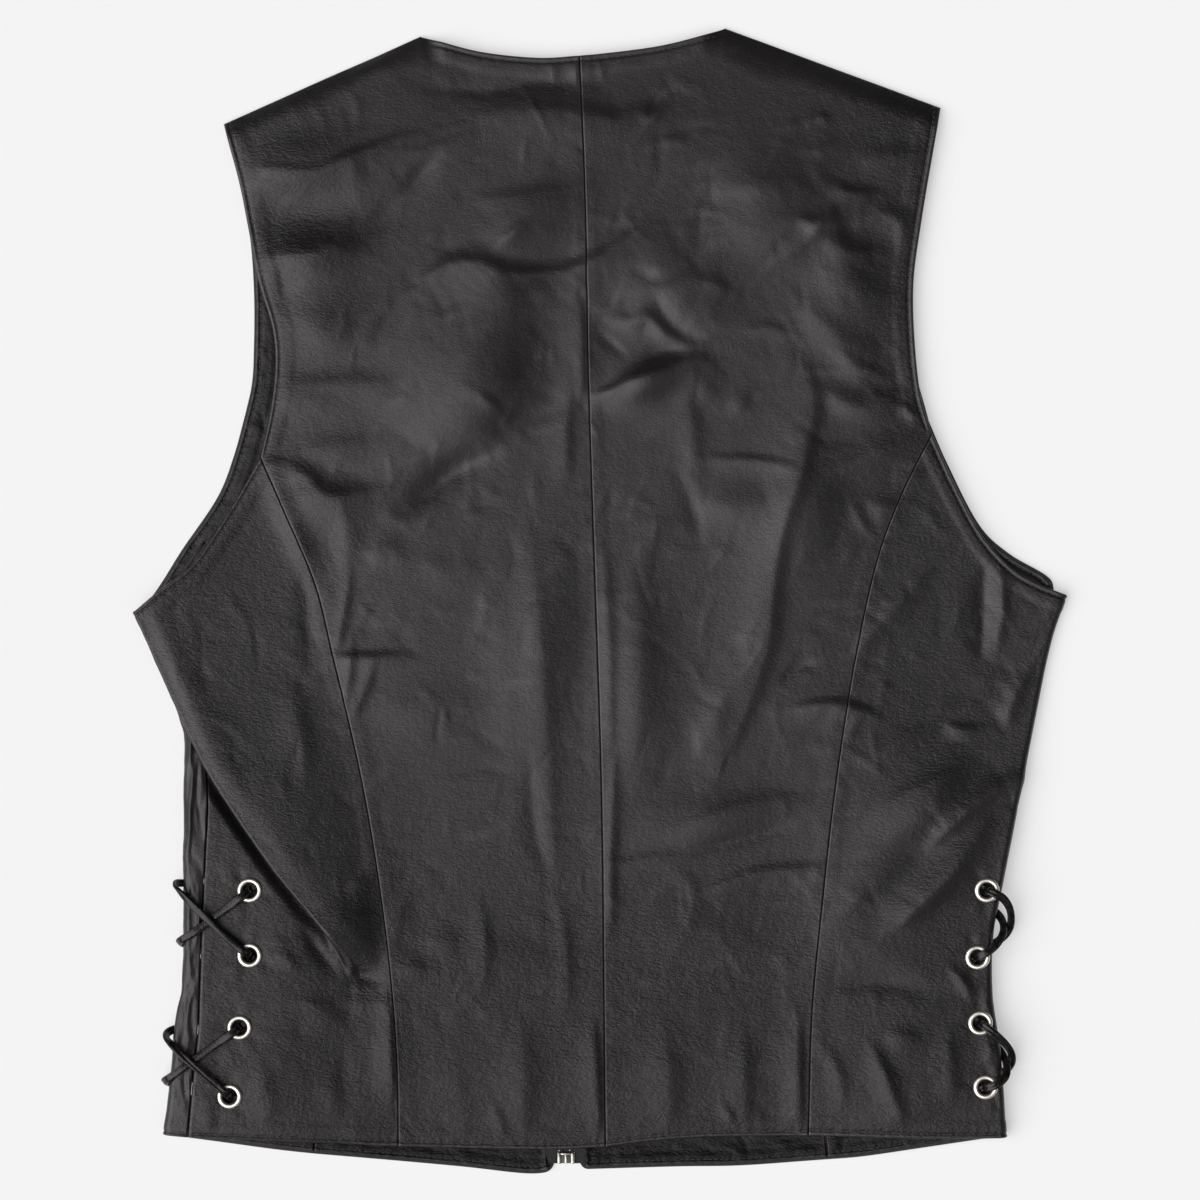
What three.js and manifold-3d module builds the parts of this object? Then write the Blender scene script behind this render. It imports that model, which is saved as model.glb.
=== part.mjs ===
// A black leather vest with laced sides, laid flat on its fronts with its back up. Sizes are in
// millimetres: +Y points to the neck, +Z up, and z = 0 is the surface that the fronts lie on.
import * as THREE from "three";
import { mergeVertices } from "three/addons/utils/BufferGeometryUtils.js";
import Module from "manifold-3d";

const wasm = await Module();
wasm.setup();

// Walls and the gaps between pieces
const leather = 1.4;
const trim = 1.0; // facings and zip tapes
const gap = 0.3;

// How high the layers lie
const backHeight = 6.2; // outer face of the back along its edges
const centreRise = 3.0; // the back's middle lies this much higher
const frontLift = 4.6; // the fronts are lifted by the laces that pass under them
const backLift = 5.6; // and so is the back over them
const zipLift = 3.2; // the zip's slider lifts the fronts round it

// Grid counts of the panels
const armholeRows = 8;
const seamRows = 18;
const neckColumns = 5;
const shoulderColumns = 6;
const rollSteps = 5;
const sideColumns = 6;
const frontSideColumns = 4;

// Seams rolled under
const shoulderUnder = 8; // from the shoulder's roll to its seam
const sideUnder = 10; // from the right side's roll to its seam
const tipUnder = 4; // less at the tip under the arm, over this share of the side
const tipShare = 0.15;

// The fold at the left: the panel turns over an outer length of turnLength, then back over backTurnLength
const turnLength = 7.5;
const backTurnLength = 1.6;
const leastRun = 0.6;
const turnSteps = 6;
const backTurnSteps = 3;
const lowerColumns = 4;

// Facings inside the fronts' armholes and hems: shares of a grid step that keep them clear of others
const facingTipShare = 0.12;
const facingShoulderShare = 0.1;
const facingEdgeShare = 0.03;
const facingHemShare = 0.04;
const facingSideShare = 0.2;
const facingOverTape = 1.9; // extra height where they cross the zip's tape

// Eyelets (radii and heights) and laces
const eyelet = { bore: 4.0, barrel: 4.5, hole: 4.8, flange: 6.7, inner: 5.0, rise: 1.2, lip: 0.9, below: 0.65 };
const eyeletSides = 10;
const holeSides = 14;
const holeDepth = 8;
const foldedHoleDrop = 2; // the left side front's holes are cut lower, clear of its upper layer
const laceDiameter = 3.0; // round, of the same section as the real 5 x 1.4 mm strip
const laceSides = 8;
const laceSteps = 44;

// Zip
const zipX = -18.4;
const zipTop = 135;
const tapeHalfGap = 1.6;
const tapeWidth = 10.4;
const zipBox = { width: 9.2, length: 5.9, low: 1.2, high: 3.9, y: -302.1 };
const slider = { y: 127, width: 8.4, length: 11, plateLow: 2.9, gapLow: 3.9, gapHigh: 6.2, top: 7.1 };
const sliderPost = { halfWidth: 1.1, yLow: 1.5, yHigh: 5 };
const sliderTaper = 0.72;
const sliderBow = 1.12;
const bridge = { width: 2.4, length: 9.6, low: 0.05, high: 0.8, post: 0.9 };
const weldOverlap = 0.2;
const pull = { pivot: 1.85, thickness: 1, width: 7, length: 28, rim: 1.4, corner: 0.6, tilt: 2.7 };
const pullHole = { width: 3.4, length: 5.8 };

const leatherBlack = { color: 0x2b2b2c, roughness: 0.55, metalness: 0 };
const facingBlack = { color: 0x232324, roughness: 0.6, metalness: 0 };
const tapeBlack = { color: 0x17171a, roughness: 0.9, metalness: 0 };
const laceBlack = { color: 0x1c1c1d, roughness: 0.5, metalness: 0 };
const nickel = { color: 0xd8d8d6, roughness: 0.25, metalness: 1 };

// Outlines of the back as it lies, from the neck down
const centreSeam = [
  { x: -11, y: 294.4 },
  { x: -8, y: 221 },
  { x: -6, y: 117 },
  { x: -2.3, y: 0 },
  { x: 0.8, y: -100 },
  { x: 3, y: -295.7 },
];
const left = {
  name: "left",
  outward: -1,
  neckline: [
    { x: -11, y: 294.4 },
    { x: -32.4, y: 293.2 },
    { x: -64.8, y: 296.5 },
    { x: -86.4, y: 302 },
  ],
  neckPoint: { x: -97.2, y: 305.6 },
  shoulderTip: { x: -204.1, y: 258.1 },
  armhole: [
    { x: -194.9, y: 224.6 },
    { x: -190, y: 200 },
    { x: -184.5, y: 172 },
    { x: -177, y: 146 },
    { x: -175.5, y: 128 },
    { x: -177.7, y: 105 },
    { x: -183.6, y: 77.2 },
  ],
  lowerArmhole: [
    { x: -183.6, y: 77.2 },
    { x: -199.8, y: 49.1 },
    { x: -220.9, y: 18.4 },
    { x: -237.1, y: 5.9 },
  ],
  princess: [
    { x: -183.6, y: 77.2 },
    { x: -171.2, y: 49.1 },
    { x: -154.4, y: 9.7 },
    { x: -144.2, y: -31 },
    { x: -129.6, y: -93 },
    { x: -120.4, y: -145 },
    { x: -113.6, y: -198 },
    { x: -109.6, y: -248 },
    { x: -109, y: -295.4 },
  ],
  hem: [
    { x: 3, y: -295.7 },
    { x: -27, y: -297 },
    { x: -109, y: -295.4 },
  ],
  frontNeckline: [
    { x: -74, y: 243 },
    { x: -49, y: 184 },
    { x: -24.8, y: zipTop },
  ],
  frontArmhole: [
    { x: -194.4, y: 222 },
    { x: -189.5, y: 196 },
    { x: -187.4, y: 167 },
    { x: -187.4, y: 138 },
    { x: -188.5, y: 117 },
    { x: -192, y: 101 },
  ],
  frontLowerArmhole: [
    { x: -192, y: 101 },
    { x: -198.2, y: 78.3 },
    { x: -206.3, y: 57.2 },
    { x: -226.8, y: 26.5 },
    { x: -238, y: 8.5 },
  ],
  frontPrincess: [
    { x: -192, y: 101 },
    { x: -181, y: 52 },
    { x: -169, y: -10 },
    { x: -160, y: -110 },
    { x: -155, y: -299.5 },
  ],
  frontHem: [
    { x: -24.8, y: -309.2 },
    { x: -36, y: -310.6 },
    { x: -75.6, y: -306.7 },
    { x: -155, y: -299.5 },
  ],
};
const right = {
  name: "right",
  outward: 1,
  neckline: [
    { x: -11, y: 294.4 },
    { x: 0, y: 295.4 },
    { x: 32.4, y: 299.7 },
    { x: 54, y: 305 },
  ],
  neckPoint: { x: 67.5, y: 310 },
  shoulderTip: { x: 184.7, y: 266.8 },
  armhole: [
    { x: 179.3, y: 237.6 },
    { x: 173.9, y: 205.2 },
    { x: 169.6, y: 172.8 },
    { x: 170.1, y: 140.4 },
    { x: 173.9, y: 108 },
    { x: 179.5, y: 90 },
  ],
  lowerArmhole: [
    { x: 179.5, y: 90 },
    { x: 193.3, y: 59.4 },
    { x: 207.4, y: 34 },
    { x: 224.1, y: 16.2 },
    { x: 238.7, y: 8.1 },
  ],
  princess: [
    { x: 179.5, y: 90 },
    { x: 163.1, y: 57.2 },
    { x: 150.7, y: 24.3 },
    { x: 138.2, y: -31 },
    { x: 126.9, y: -103 },
    { x: 119.9, y: -165 },
    { x: 114.5, y: -223 },
    { x: 112.6, y: -289.6 },
  ],
  hem: [
    { x: 3, y: -295.7 },
    { x: 21.6, y: -293.2 },
    { x: 54, y: -290.5 },
    { x: 112.6, y: -289.6 },
  ],
  frontNeckline: [
    { x: 50, y: 250 },
    { x: 20, y: 188 },
    { x: -10.8, y: zipTop },
  ],
  frontArmhole: [
    { x: 177, y: 238 },
    { x: 171, y: 205 },
    { x: 167, y: 168 },
    { x: 168.5, y: 135 },
    { x: 178, y: 97 },
  ],
  frontLowerArmhole: [
    { x: 178, y: 97 },
    { x: 188, y: 74 },
    { x: 207.4, y: 37.8 },
    { x: 221.9, y: 24.8 },
    { x: 244.1, y: 11 },
  ],
  frontPrincess: [
    { x: 178, y: 97 },
    { x: 160, y: 52 },
    { x: 146, y: -10 },
    { x: 132, y: -110 },
    { x: 123, y: -302.8 },
  ],
  frontHem: [
    { x: -10.8, y: -308.3 },
    { x: 43.2, y: -306.7 },
    { x: 75.6, y: -306.2 },
    { x: 123, y: -302.8 },
  ],
};

// Stations down the left side, as shares of the way from armhole to hem: the fold's edge, how far it turns
// (degrees) and runs back under itself, the side seam, and the edge where the side front rolls up to it
const leftSideColumns = ["at", "foldX", "foldY", "turn", "run", "seamX", "seamY", "rollX", "rollY"];
const leftSide = [
  [0.0, -252.7, -6.5, 180, 12, -244.0, -2.5, -250.0, -5.5],
  [0.12, -240.0, -35, 180, 16, -229, -38, -236.8, -40],
  [0.24, -228.1, -61, 180, 17, -217, -70, -226, -70],
  [0.36, -213.7, -91, 180, 12, -212, -103, -225.2, -103],
  [0.48, -195.2, -120, 180, 10, -213, -137, -225.2, -137],
  [0.58, -175, -148.5, 180, 7, -214.5, -166, -225.2, -166],
  [0.66, -158, -169, 150, 3, -215.5, -192, -225.2, -192],
  [0.72, -146, -184, 80, 1, -216.3, -213, -226.3, -213],
  [0.78, -138, -198, 30, 1, -217, -232, -230, -232],
  [0.84, -135, -216, 0, 1, -219, -250, -231.4, -250],
  [1.0, -140, -294, 0, 1, -222.8, -290.3, -236, -289],
];

// The right edge, where the side back rolls under to its seam
const rightEdge = [
  { x: 252.7, y: 2.7 },
  { x: 244.6, y: -21.6 },
  { x: 235.4, y: -64.8 },
  { x: 226.8, y: -108 },
  { x: 217.1, y: -156.6 },
  { x: 212.6, y: -180 },
  { x: 212.2, y: -214 },
  { x: 216.3, y: -243.5 },
  { x: 219.8, y: -290.5 },
];
const leftSideHem = [
  { x: -109, y: -295.4 },
  { x: -138, y: -294.2 },
];
const rightSideHem = [
  { x: 112.6, y: -289.6 },
  { x: 189, y: -291.1 },
];
const leftFrontSideHem = [
  { x: -155, y: -299.5 },
  { x: -172.8, y: -297.5 },
  { x: -207.9, y: -292.7 },
];
const rightFrontSideHem = [
  { x: 123, y: -302.8 },
  { x: 140.4, y: -301.3 },
  { x: 172.8, y: -296.5 },
];

// The largest folds of the back: each is a long soft ridge, or a trough where its height is below zero,
// turned by an angle (degrees) from +X.
const folds = [
  { x: -165, y: 236, angle: 12, length: 60, width: 13, height: 3.0 },
  { x: -160, y: 208, angle: 14, length: 55, width: 11, height: -1.4 },
  { x: -160, y: 188, angle: 10, length: 50, width: 14, height: 2.6 },
  { x: -150, y: 150, angle: -4, length: 45, width: 20, height: 2.0 },
  { x: -40, y: 205, angle: 30, length: 60, width: 14, height: 3.2 },
  { x: -30, y: 176, angle: 12, length: 40, width: 10, height: -2.4 },
  { x: 42, y: 170, angle: -40, length: 60, width: 24, height: 3.6 },
  { x: -60, y: 110, angle: 52, length: 60, width: 18, height: 3.2 },
  { x: 24, y: 118, angle: 25, length: 34, width: 10, height: 3.4 },
  { x: 96, y: 218, angle: -25, length: 60, width: 22, height: 2.8 },
  { x: 134, y: 170, angle: -50, length: 50, width: 16, height: 2.8 },
  { x: 112, y: 50, angle: 76, length: 60, width: 16, height: 3.0 },
  { x: -30, y: -20, angle: 86, length: 90, width: 18, height: 2.4 },
  { x: 20, y: -40, angle: 92, length: 90, width: 16, height: 2.0 },
  { x: 180, y: -110, angle: 40, length: 60, width: 14, height: 3.2 },
  { x: 165, y: -140, angle: 42, length: 55, width: 10, height: -1.8 },
  { x: 60, y: -120, angle: 6, length: 70, width: 14, height: 2.2 },
];

// Eyelet centres, from the upper one down, on the back and on the front under it
const eyelets = [
  { side: "left", back: { x: -189, y: -156.6 }, front: { x: -215.5, y: -154.4 } },
  { side: "left", back: { x: -189, y: -191.7 }, front: { x: -214.4, y: -190.1 } },
  { side: "left", back: { x: -194.4, y: -230.6 }, front: { x: -220.5, y: -232 } },
  { side: "left", back: { x: -199.8, y: -267.8 }, front: { x: -222.5, y: -264 } },
  { side: "right", back: { x: 208.8, y: -156.6 }, front: { x: 180, y: -156 } },
  { side: "right", back: { x: 203.7, y: -192.8 }, front: { x: 180, y: -192 } },
  { side: "right", back: { x: 205.2, y: -228.2 }, front: { x: 182, y: -228 } },
  { side: "right", back: { x: 208, y: -262.8 }, front: { x: 182, y: -262 } },
];

// The way of each lace: from inside up through a back eyelet, out over the edge and up through the far
// front eyelet, along the inside, down through the near one and back over the edge to the other back eyelet
const laces = {
  lace_left_upper: [
    [-180, -150, 7.9], [-185.5, -154.2, 8.0], [-188.5, -156.3, 9.2], [-189, -156.6, 11.6],
    [-190, -157.4, 13.9], [-193.6, -160.2, 14.9], [-200, -165.3, 14.1], [-207, -170.4, 13.7],
    [-214, -175.6, 13.7], [-220.6, -180.3, 13.6], [-225.2, -182.9, 12.1], [-227.2, -184.5, 9.2],
    [-227.0, -185.8, 5.8], [-224.2, -187.4, 2.8], [-219.6, -189, 1.65], [-216, -190, 2.4],
    [-214.5, -190.2, 4.9], [-214.4, -189.6, 7.4], [-214.7, -186.4, 8.6], [-215.0, -179, 8.2],
    [-215.1, -172, 7.9], [-215.2, -165, 8.2], [-215.4, -158, 8.6], [-215.5, -154.8, 7.2],
    [-215.6, -154.3, 4.8], [-217.0, -154.0, 2.4], [-220.8, -153.6, 1.65], [-225.9, -153.2, 3.4],
    [-229.0, -153.3, 7.0], [-228.8, -155, 10.8], [-225.6, -158.2, 14.2], [-219.5, -164.2, 16.5],
    [-211, -172, 17.2], [-203, -179.8, 16.4], [-196, -186, 15.2], [-191.4, -190.0, 14.6],
    [-189.3, -191.6, 12.4], [-188.8, -192.0, 9.2], [-186.8, -193.8, 8.05], [-180, -199, 7.9],
  ],
  lace_left_lower: [
    [-186, -224, 7.9], [-191, -228.2, 8.0], [-193.9, -230.3, 9.2], [-194.4, -230.6, 11.6],
    [-195.4, -231.3, 13.9], [-199, -234, 14.9], [-205, -238.2, 14.1], [-212, -243.2, 13.8],
    [-219, -248.2, 13.8], [-226.5, -253.6, 13.9], [-232.4, -257.8, 12.6], [-235.0, -259.8, 9.2],
    [-234.8, -261, 5.6], [-231.8, -262.6, 2.7], [-227.2, -263.6, 1.7], [-224, -264, 2.4],
    [-222.6, -264.1, 4.9], [-222.5, -263.4, 7.4], [-222.4, -260.2, 8.6], [-222, -254, 8.2],
    [-221.5, -248, 7.9], [-221, -242, 8.2], [-220.6, -235.6, 8.6], [-220.5, -232.4, 7.2],
    [-220.6, -231.9, 4.8], [-222, -231.8, 2.4], [-225.6, -231.8, 1.7], [-230.4, -232.4, 3.2],
    [-233.8, -234, 6.8], [-234.0, -236.2, 10.6], [-231.4, -239, 14.0], [-226.5, -243.6, 16.4],
    [-220.4, -249.2, 17.2], [-213, -256, 16.4], [-206.4, -261.8, 15.2], [-202.0, -265.8, 14.6],
    [-200.1, -267.6, 12.4], [-199.8, -268.0, 9.6], [-198.2, -269.0, 8.1], [-192, -271.4, 7.9],
  ],
  lace_right_upper: [
    [199, -150, 7.9], [206.0, -154.6, 8.0], [208.4, -156.3, 9.1], [208.8, -156.5, 11.6],
    [209.6, -156.9, 13.9], [212.8, -158.2, 14.9], [217.2, -160.8, 14.2], [220.6, -165.6, 12.4],
    [222.0, -171.4, 9.6], [221.2, -177.6, 6.0], [217.4, -183.0, 2.9], [210, -187.4, 1.75],
    [201, -189.8, 1.7], [190, -191.4, 1.7], [183.4, -191.9, 1.8], [180.6, -192, 4.0],
    [180, -191.8, 6.4], [180, -189.4, 8.4], [180, -183, 8.4], [180, -174, 7.9],
    [180, -165, 8.4], [180, -158.6, 8.4], [180, -156.2, 6.4], [180.6, -156, 4.0],
    [183.4, -156.3, 1.8], [190, -158.2, 1.7], [199, -161.0, 1.7], [207, -164.4, 2.0],
    [213.4, -168.4, 3.4], [217.2, -172.8, 6.4], [217.9, -177.4, 9.8], [216.2, -182.2, 12.8],
    [212.2, -187, 14.4], [207.4, -190.6, 14.9], [204.5, -192.4, 13.6], [203.7, -192.8, 11.2],
    [203.1, -193.4, 9.0], [200, -196, 8.0], [194, -200, 7.9],
  ],
  lace_right_lower: [
    [196, -222, 7.9], [202, -226, 8.0], [204.7, -227.9, 9.2], [205.2, -228.2, 11.6],
    [206.2, -229, 13.9], [209.6, -231.4, 14.9], [214.6, -235.6, 14.4], [219.4, -240.4, 12.8],
    [222.2, -245.4, 9.6], [222.2, -250.6, 6.0], [218.6, -255.2, 2.9], [211, -258.2, 1.75],
    [202, -260.2, 1.7], [191.6, -261.6, 1.7], [185.4, -261.9, 1.8], [182.6, -262, 4.0],
    [182, -261.8, 6.4], [182, -259.4, 8.4], [182, -253, 8.4], [182, -245, 7.9],
    [182, -237, 8.4], [182, -230.6, 8.4], [182, -228.2, 6.4], [182.6, -228, 4.0],
    [185.4, -228.3, 1.8], [192, -230.2, 1.7], [200.6, -233.6, 1.7], [209, -238, 2.0],
    [215.6, -242.8, 3.6], [218.6, -247.4, 6.6], [219.6, -252.2, 10.0], [218.8, -256.4, 13.0],
    [216, -259.6, 14.6], [212.4, -261.8, 14.9], [209, -262.8, 13.6], [208, -263, 11.2],
    [207.8, -263.2, 8.9], [205.6, -264.4, 8.0], [198, -268.4, 7.9],
  ],
};

const group = new THREE.Group();

function add(name, geometry, look) {
  const mesh = new THREE.Mesh(geometry, new THREE.MeshStandardMaterial(look));
  mesh.name = name;
  group.add(mesh);
  return mesh;
}

function smooth(value) {
  return THREE.MathUtils.smoothstep(value, 0, 1);
}

// 1 beside the laces at either edge and 0 away from them.
function laceZone(x, y) {
  const across = x < 0 ? smooth((-x - 154) / 24) : smooth((x - 130) / 26);
  const down = smooth((-86 - y) / 46) * (1 - 0.5 * smooth((-277 - y) / 16));
  return across * down;
}

function frontHeight(x, y) {
  const nearSlider = Math.exp(-(((x - zipX) / 26) ** 2) - ((y - slider.y) / 34) ** 2);
  return frontLift * laceZone(x, y) + zipLift * nearSlider;
}

function lowerBackHeight(x, y) {
  return backHeight + backLift * laceZone(x, y);
}

function backSurface(x, y) {
  const inFromSides = smooth((172 - Math.abs(x)) / 60);
  const inFromEnds = smooth((y + 298) / 50) * smooth((302 - y) / 70);
  let height = lowerBackHeight(x, y) + centreRise * inFromSides * inFromEnds;
  const inFromEdges = smooth((210 - Math.abs(x)) / 30) * smooth((y + 298) / 30) * smooth((300 - y) / 40);
  for (const fold of folds) {
    const angle = THREE.MathUtils.degToRad(fold.angle);
    const alongFold = ((x - fold.x) * Math.cos(angle) + (y - fold.y) * Math.sin(angle)) / (fold.length / 2);
    const acrossFold = ((y - fold.y) * Math.cos(angle) - (x - fold.x) * Math.sin(angle)) / fold.width;
    height += inFromEdges * fold.height * Math.exp(-(alongFold ** 2) - acrossFold ** 2);
  }
  return height;
}

// The upward normal of a height function.
function normalOf(height, x, y) {
  const step = 0.5;
  const slopeX = (height(x + step, y) - height(x - step, y)) / (2 * step);
  const slopeY = (height(x, y + step) - height(x, y - step)) / (2 * step);
  return new THREE.Vector3(-slopeX, -slopeY, 1).normalize();
}

// Points evenly spaced along a smooth curve through a table's x and y.
function along(table, pieces) {
  const through = table.map(({ x, y }) => new THREE.Vector3(x, y, 0));
  return new THREE.CatmullRomCurve3(through, false, "centripetal").getSpacedPoints(pieces);
}

// A column of the left side's table at a share of the way down, between stations on a smooth curve.
function station(column, share) {
  const place = leftSideColumns.indexOf(column);
  const last = leftSide.length - 1;
  const next = Math.max(1, leftSide.findIndex(([at]) => at >= share));
  const [before, from, to, after] = [next - 2, next - 1, next, next + 1].map(
    (row) => leftSide[THREE.MathUtils.clamp(row, 0, last)],
  );
  const slope = (low, high) => (high[place] - low[place]) / Math.max(high[0] - low[0], 1e-6);
  const length = to[0] - from[0];
  const t = (share - from[0]) / length;
  const startSlope = slope(before, to) * length;
  const endSlope = slope(from, after) * length;
  return (
    (2 * t ** 3 - 3 * t ** 2 + 1) * from[place] +
    (t ** 3 - 2 * t ** 2 + t) * startSlope +
    (3 * t ** 2 - 2 * t ** 3) * to[place] +
    (t ** 3 - t ** 2) * endSlope
  );
}

// Rows of points between four edges: first and last are rows, start and end are columns.
function patch(first, last, start, end) {
  const rows = start.length - 1;
  const columns = first.length - 1;
  return start.map((startPoint, i) => {
    const v = i / rows;
    return first.map((firstPoint, j) => {
      const u = j / columns;
      const point = new THREE.Vector3();
      for (const axis of ["x", "y"]) {
        const corners =
          (1 - u) * (1 - v) * start[0][axis] + u * (1 - v) * end[0][axis] +
          (1 - u) * v * start[rows][axis] + u * v * end[rows][axis];
        const between = (1 - v) * firstPoint[axis] + v * last[j][axis];
        point[axis] = between + (1 - u) * startPoint[axis] + u * end[i][axis] - corners;
      }
      return point;
    });
  });
}

function setHeights(rows, height) {
  for (const row of rows) for (const point of row) point.z = height(point.x, point.y);
}

// Moves one end of a row half a seam's gap towards its neighbour in the row.
function openSeam(row, end) {
  const [edge, inside] = end === "start" ? [row[0], row[1]] : [row.at(-1), row.at(-2)];
  edge.addScaledVector(inside.clone().sub(edge).normalize(), gap / 2);
}

// The horizontal direction square to a column of points at one of them, on the side that outward says.
function squareTo(column, i, outward) {
  const ahead = column[Math.min(i + 1, column.length - 1)];
  const behind = column[Math.max(i - 1, 0)];
  const tangent = ahead.clone().sub(behind).setZ(0).normalize();
  return new THREE.Vector3(-tangent.y, tangent.x, 0).multiplyScalar(outward * Math.sign(-tangent.y));
}

// A half-round roll from a point at the top of it, out and down (or up) by its height, as steps points.
function halfRoll(from, direction, height, steps) {
  const radius = Math.abs(height) / 2;
  return Array.from({ length: steps }, (_, k) => {
    const angle = (Math.PI * (k + 1)) / steps;
    const point = from.clone().addScaledVector(direction, radius * Math.sin(angle));
    point.z = from.z + (height / 2) * (1 - Math.cos(angle));
    return point;
  });
}

// A closed wall of leather inside grids of outer points, which share the points that they meet in.
// seamNormals gives the normal at points on a seam, so that both its pieces have the same one there.
function wall(grids, { thickness = leather, faceUp = true, seamNormals = new Map() } = {}) {
  const index = new Map();
  const outer = [];
  const indexOf = (point) => {
    if (!index.has(point)) {
      index.set(point, outer.length);
      outer.push(point);
    }
    return index.get(point);
  };
  const faces = [];
  for (const rows of grids) {
    for (let i = 0; i + 1 < rows.length; i++) {
      for (let j = 0; j + 1 < rows[i].length; j++) {
        const corners = [rows[i][j], rows[i][j + 1], rows[i + 1][j + 1], rows[i + 1][j]].map(indexOf);
        faces.push([corners[0], corners[1], corners[2]], [corners[0], corners[2], corners[3]]);
      }
    }
  }
  const crossOf = ([a, b, c]) =>
    outer[b].clone().sub(outer[a]).cross(outer[c].clone().sub(outer[a]));
  const firstFaces = faces.slice(0, 8).reduce((sum, face) => sum + crossOf(face).z, 0);
  if (firstFaces > 0 !== faceUp) faces.forEach((face) => face.reverse());

  const normals = outer.map(() => new THREE.Vector3());
  for (const face of faces) {
    const normal = crossOf(face);
    for (const corner of face) normals[corner].add(normal);
  }
  const positions = outer.flatMap((point) => point.toArray());
  outer.forEach((point, i) => {
    const normal = seamNormals.get(point) ?? normals[i].normalize();
    positions.push(...point.clone().addScaledVector(normal, -thickness).toArray());
  });

  const count = outer.length;
  const triangles = [];
  const openEdges = new Map();
  for (const [a, b, c] of faces) {
    triangles.push(a, b, c, a + count, c + count, b + count);
    for (const [from, to] of [[a, b], [b, c], [c, a]]) {
      const back = to + "_" + from;
      if (openEdges.has(back)) openEdges.delete(back);
      else openEdges.set(from + "_" + to, [from, to]);
    }
  }
  for (const [from, to] of openEdges.values()) {
    triangles.push(to, from, from + count, to, from + count, to + count);
  }
  const geometry = new THREE.BufferGeometry();
  geometry.setAttribute("position", new THREE.Float32BufferAttribute(positions, 3));
  geometry.setIndex(triangles);
  return geometry;
}

function solidOf(geometry) {
  const bare = geometry.clone();
  bare.deleteAttribute("normal");
  bare.deleteAttribute("uv");
  const merged = mergeVertices(bare, 1e-4);
  const vertProperties = merged.attributes.position.array;
  const triVerts = new Uint32Array(merged.index.array);
  return new wasm.Manifold(new wasm.Mesh({ numProp: 3, vertProperties, triVerts }));
}

function geometryOf(solid) {
  const { vertProperties, triVerts } = solid.getMesh();
  const geometry = new THREE.BufferGeometry();
  geometry.setAttribute("position", new THREE.BufferAttribute(new Float32Array(vertProperties), 3));
  geometry.setIndex(new THREE.BufferAttribute(new Uint32Array(triVerts), 1));
  return geometry;
}

function cut(geometry, tools) {
  return geometryOf(tools.reduce((solid, tool) => solid.subtract(solidOf(tool)), solidOf(geometry)));
}

function join(parts) {
  return geometryOf(parts.map(solidOf).reduce((whole, part) => whole.add(part)));
}

function block(low, high) {
  const size = high.map((value, axis) => value - low[axis]);
  const centre = high.map((value, axis) => (value + low[axis]) / 2);
  return new THREE.BoxGeometry(...size).translate(...centre);
}

function withHoles(geometry, centres, height) {
  const tools = centres.map(({ x, y }) =>
    new THREE.CylinderGeometry(eyelet.hole, eyelet.hole, holeDepth, holeSides)
      .rotateX(Math.PI / 2)
      .translate(x, y, height(x, y)),
  );
  return cut(geometry, tools);
}

// Points of a piece that lies on a panel: the panel's own, moved straight up.
function liftedRows(rows, lift) {
  return rows.map((row) => row.map((point) => point.clone().setZ(point.z + lift)));
}

const centreList = along(centreSeam, armholeRows + seamRows);

// Main back panels: centre seam to armhole and princess seam, with a roll over each shoulder
const shoulders = {};
for (const side of [left, right]) {
  const neck = new THREE.Vector3(side.neckPoint.x, side.neckPoint.y, 0);
  const tip = new THREE.Vector3(side.shoulderTip.x, side.shoulderTip.y, 0);
  const line = tip.clone().sub(neck).normalize();
  const outward = new THREE.Vector3(-line.y, line.x, 0).multiplyScalar(Math.sign(line.x));
  neck.addScaledVector(outward, -backHeight / 2);
  tip.addScaledVector(outward, -backHeight / 2);

  const armhole = along([tip, ...side.armhole], armholeRows);
  const princess = along(side.princess, seamRows);
  const top = [
    ...along([...side.neckline, neck], neckColumns),
    ...along([neck, tip], shoulderColumns).slice(1),
  ];
  const hem = along(side.hem, neckColumns + shoulderColumns);
  const rows = patch(top, hem, centreList, [...armhole, ...princess.slice(1)]);
  setHeights(rows, backSurface);

  const shoulderRow = rows[0].slice(neckColumns);
  const columns = shoulderRow.map((point) => {
    const roll = halfRoll(point, outward, -point.z, rollSteps);
    const under = [0.5, 1].map((share) =>
      point.clone().addScaledVector(outward, -shoulderUnder * share).setZ(0),
    );
    return [point, ...roll, ...under];
  });
  const seam = columns.map((column) => column.at(-1).clone());
  columns.forEach((column) => column.at(-1).addScaledVector(outward, gap / 2));
  const flap = columns[0].map((_, k) => columns.map((column) => column[k])).reverse();

  const seamNormals = new Map();
  rows.forEach((row, i) => {
    for (const [point, onSeam] of [[row[0], true], [row.at(-1), i >= armholeRows]]) {
      if (onSeam) seamNormals.set(point, normalOf(backSurface, point.x, point.y));
    }
    openSeam(row, "start");
    if (i >= armholeRows) openSeam(row, "end");
  });
  for (const point of flap[0]) seamNormals.set(point, new THREE.Vector3(0, 0, -1));
  add("back_" + side.name, wall([rows, flap], { seamNormals }), leatherBlack);
  shoulders[side.name] = { seam, outward, princess };
}

// The left side back, with its fold, and the stations of its seam with the side front
const shares = Array.from({ length: seamRows + 1 }, (_, i) => i / seamRows);
const foldEdge = shares.map((at) => new THREE.Vector3(station("foldX", at), station("foldY", at), 0));
const foldOut = foldEdge.map((_, i) => squareTo(foldEdge, i, -1));
const turnRadius = turnLength / Math.PI;
const foldStart = foldEdge.map((point, i) => point.clone().addScaledVector(foldOut[i], -turnRadius));
const leftSeam = shares.map((at) => {
  const [x, y] = [station("seamX", at), station("seamY", at)];
  return new THREE.Vector3(x, y, lowerBackHeight(x, y));
});

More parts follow.
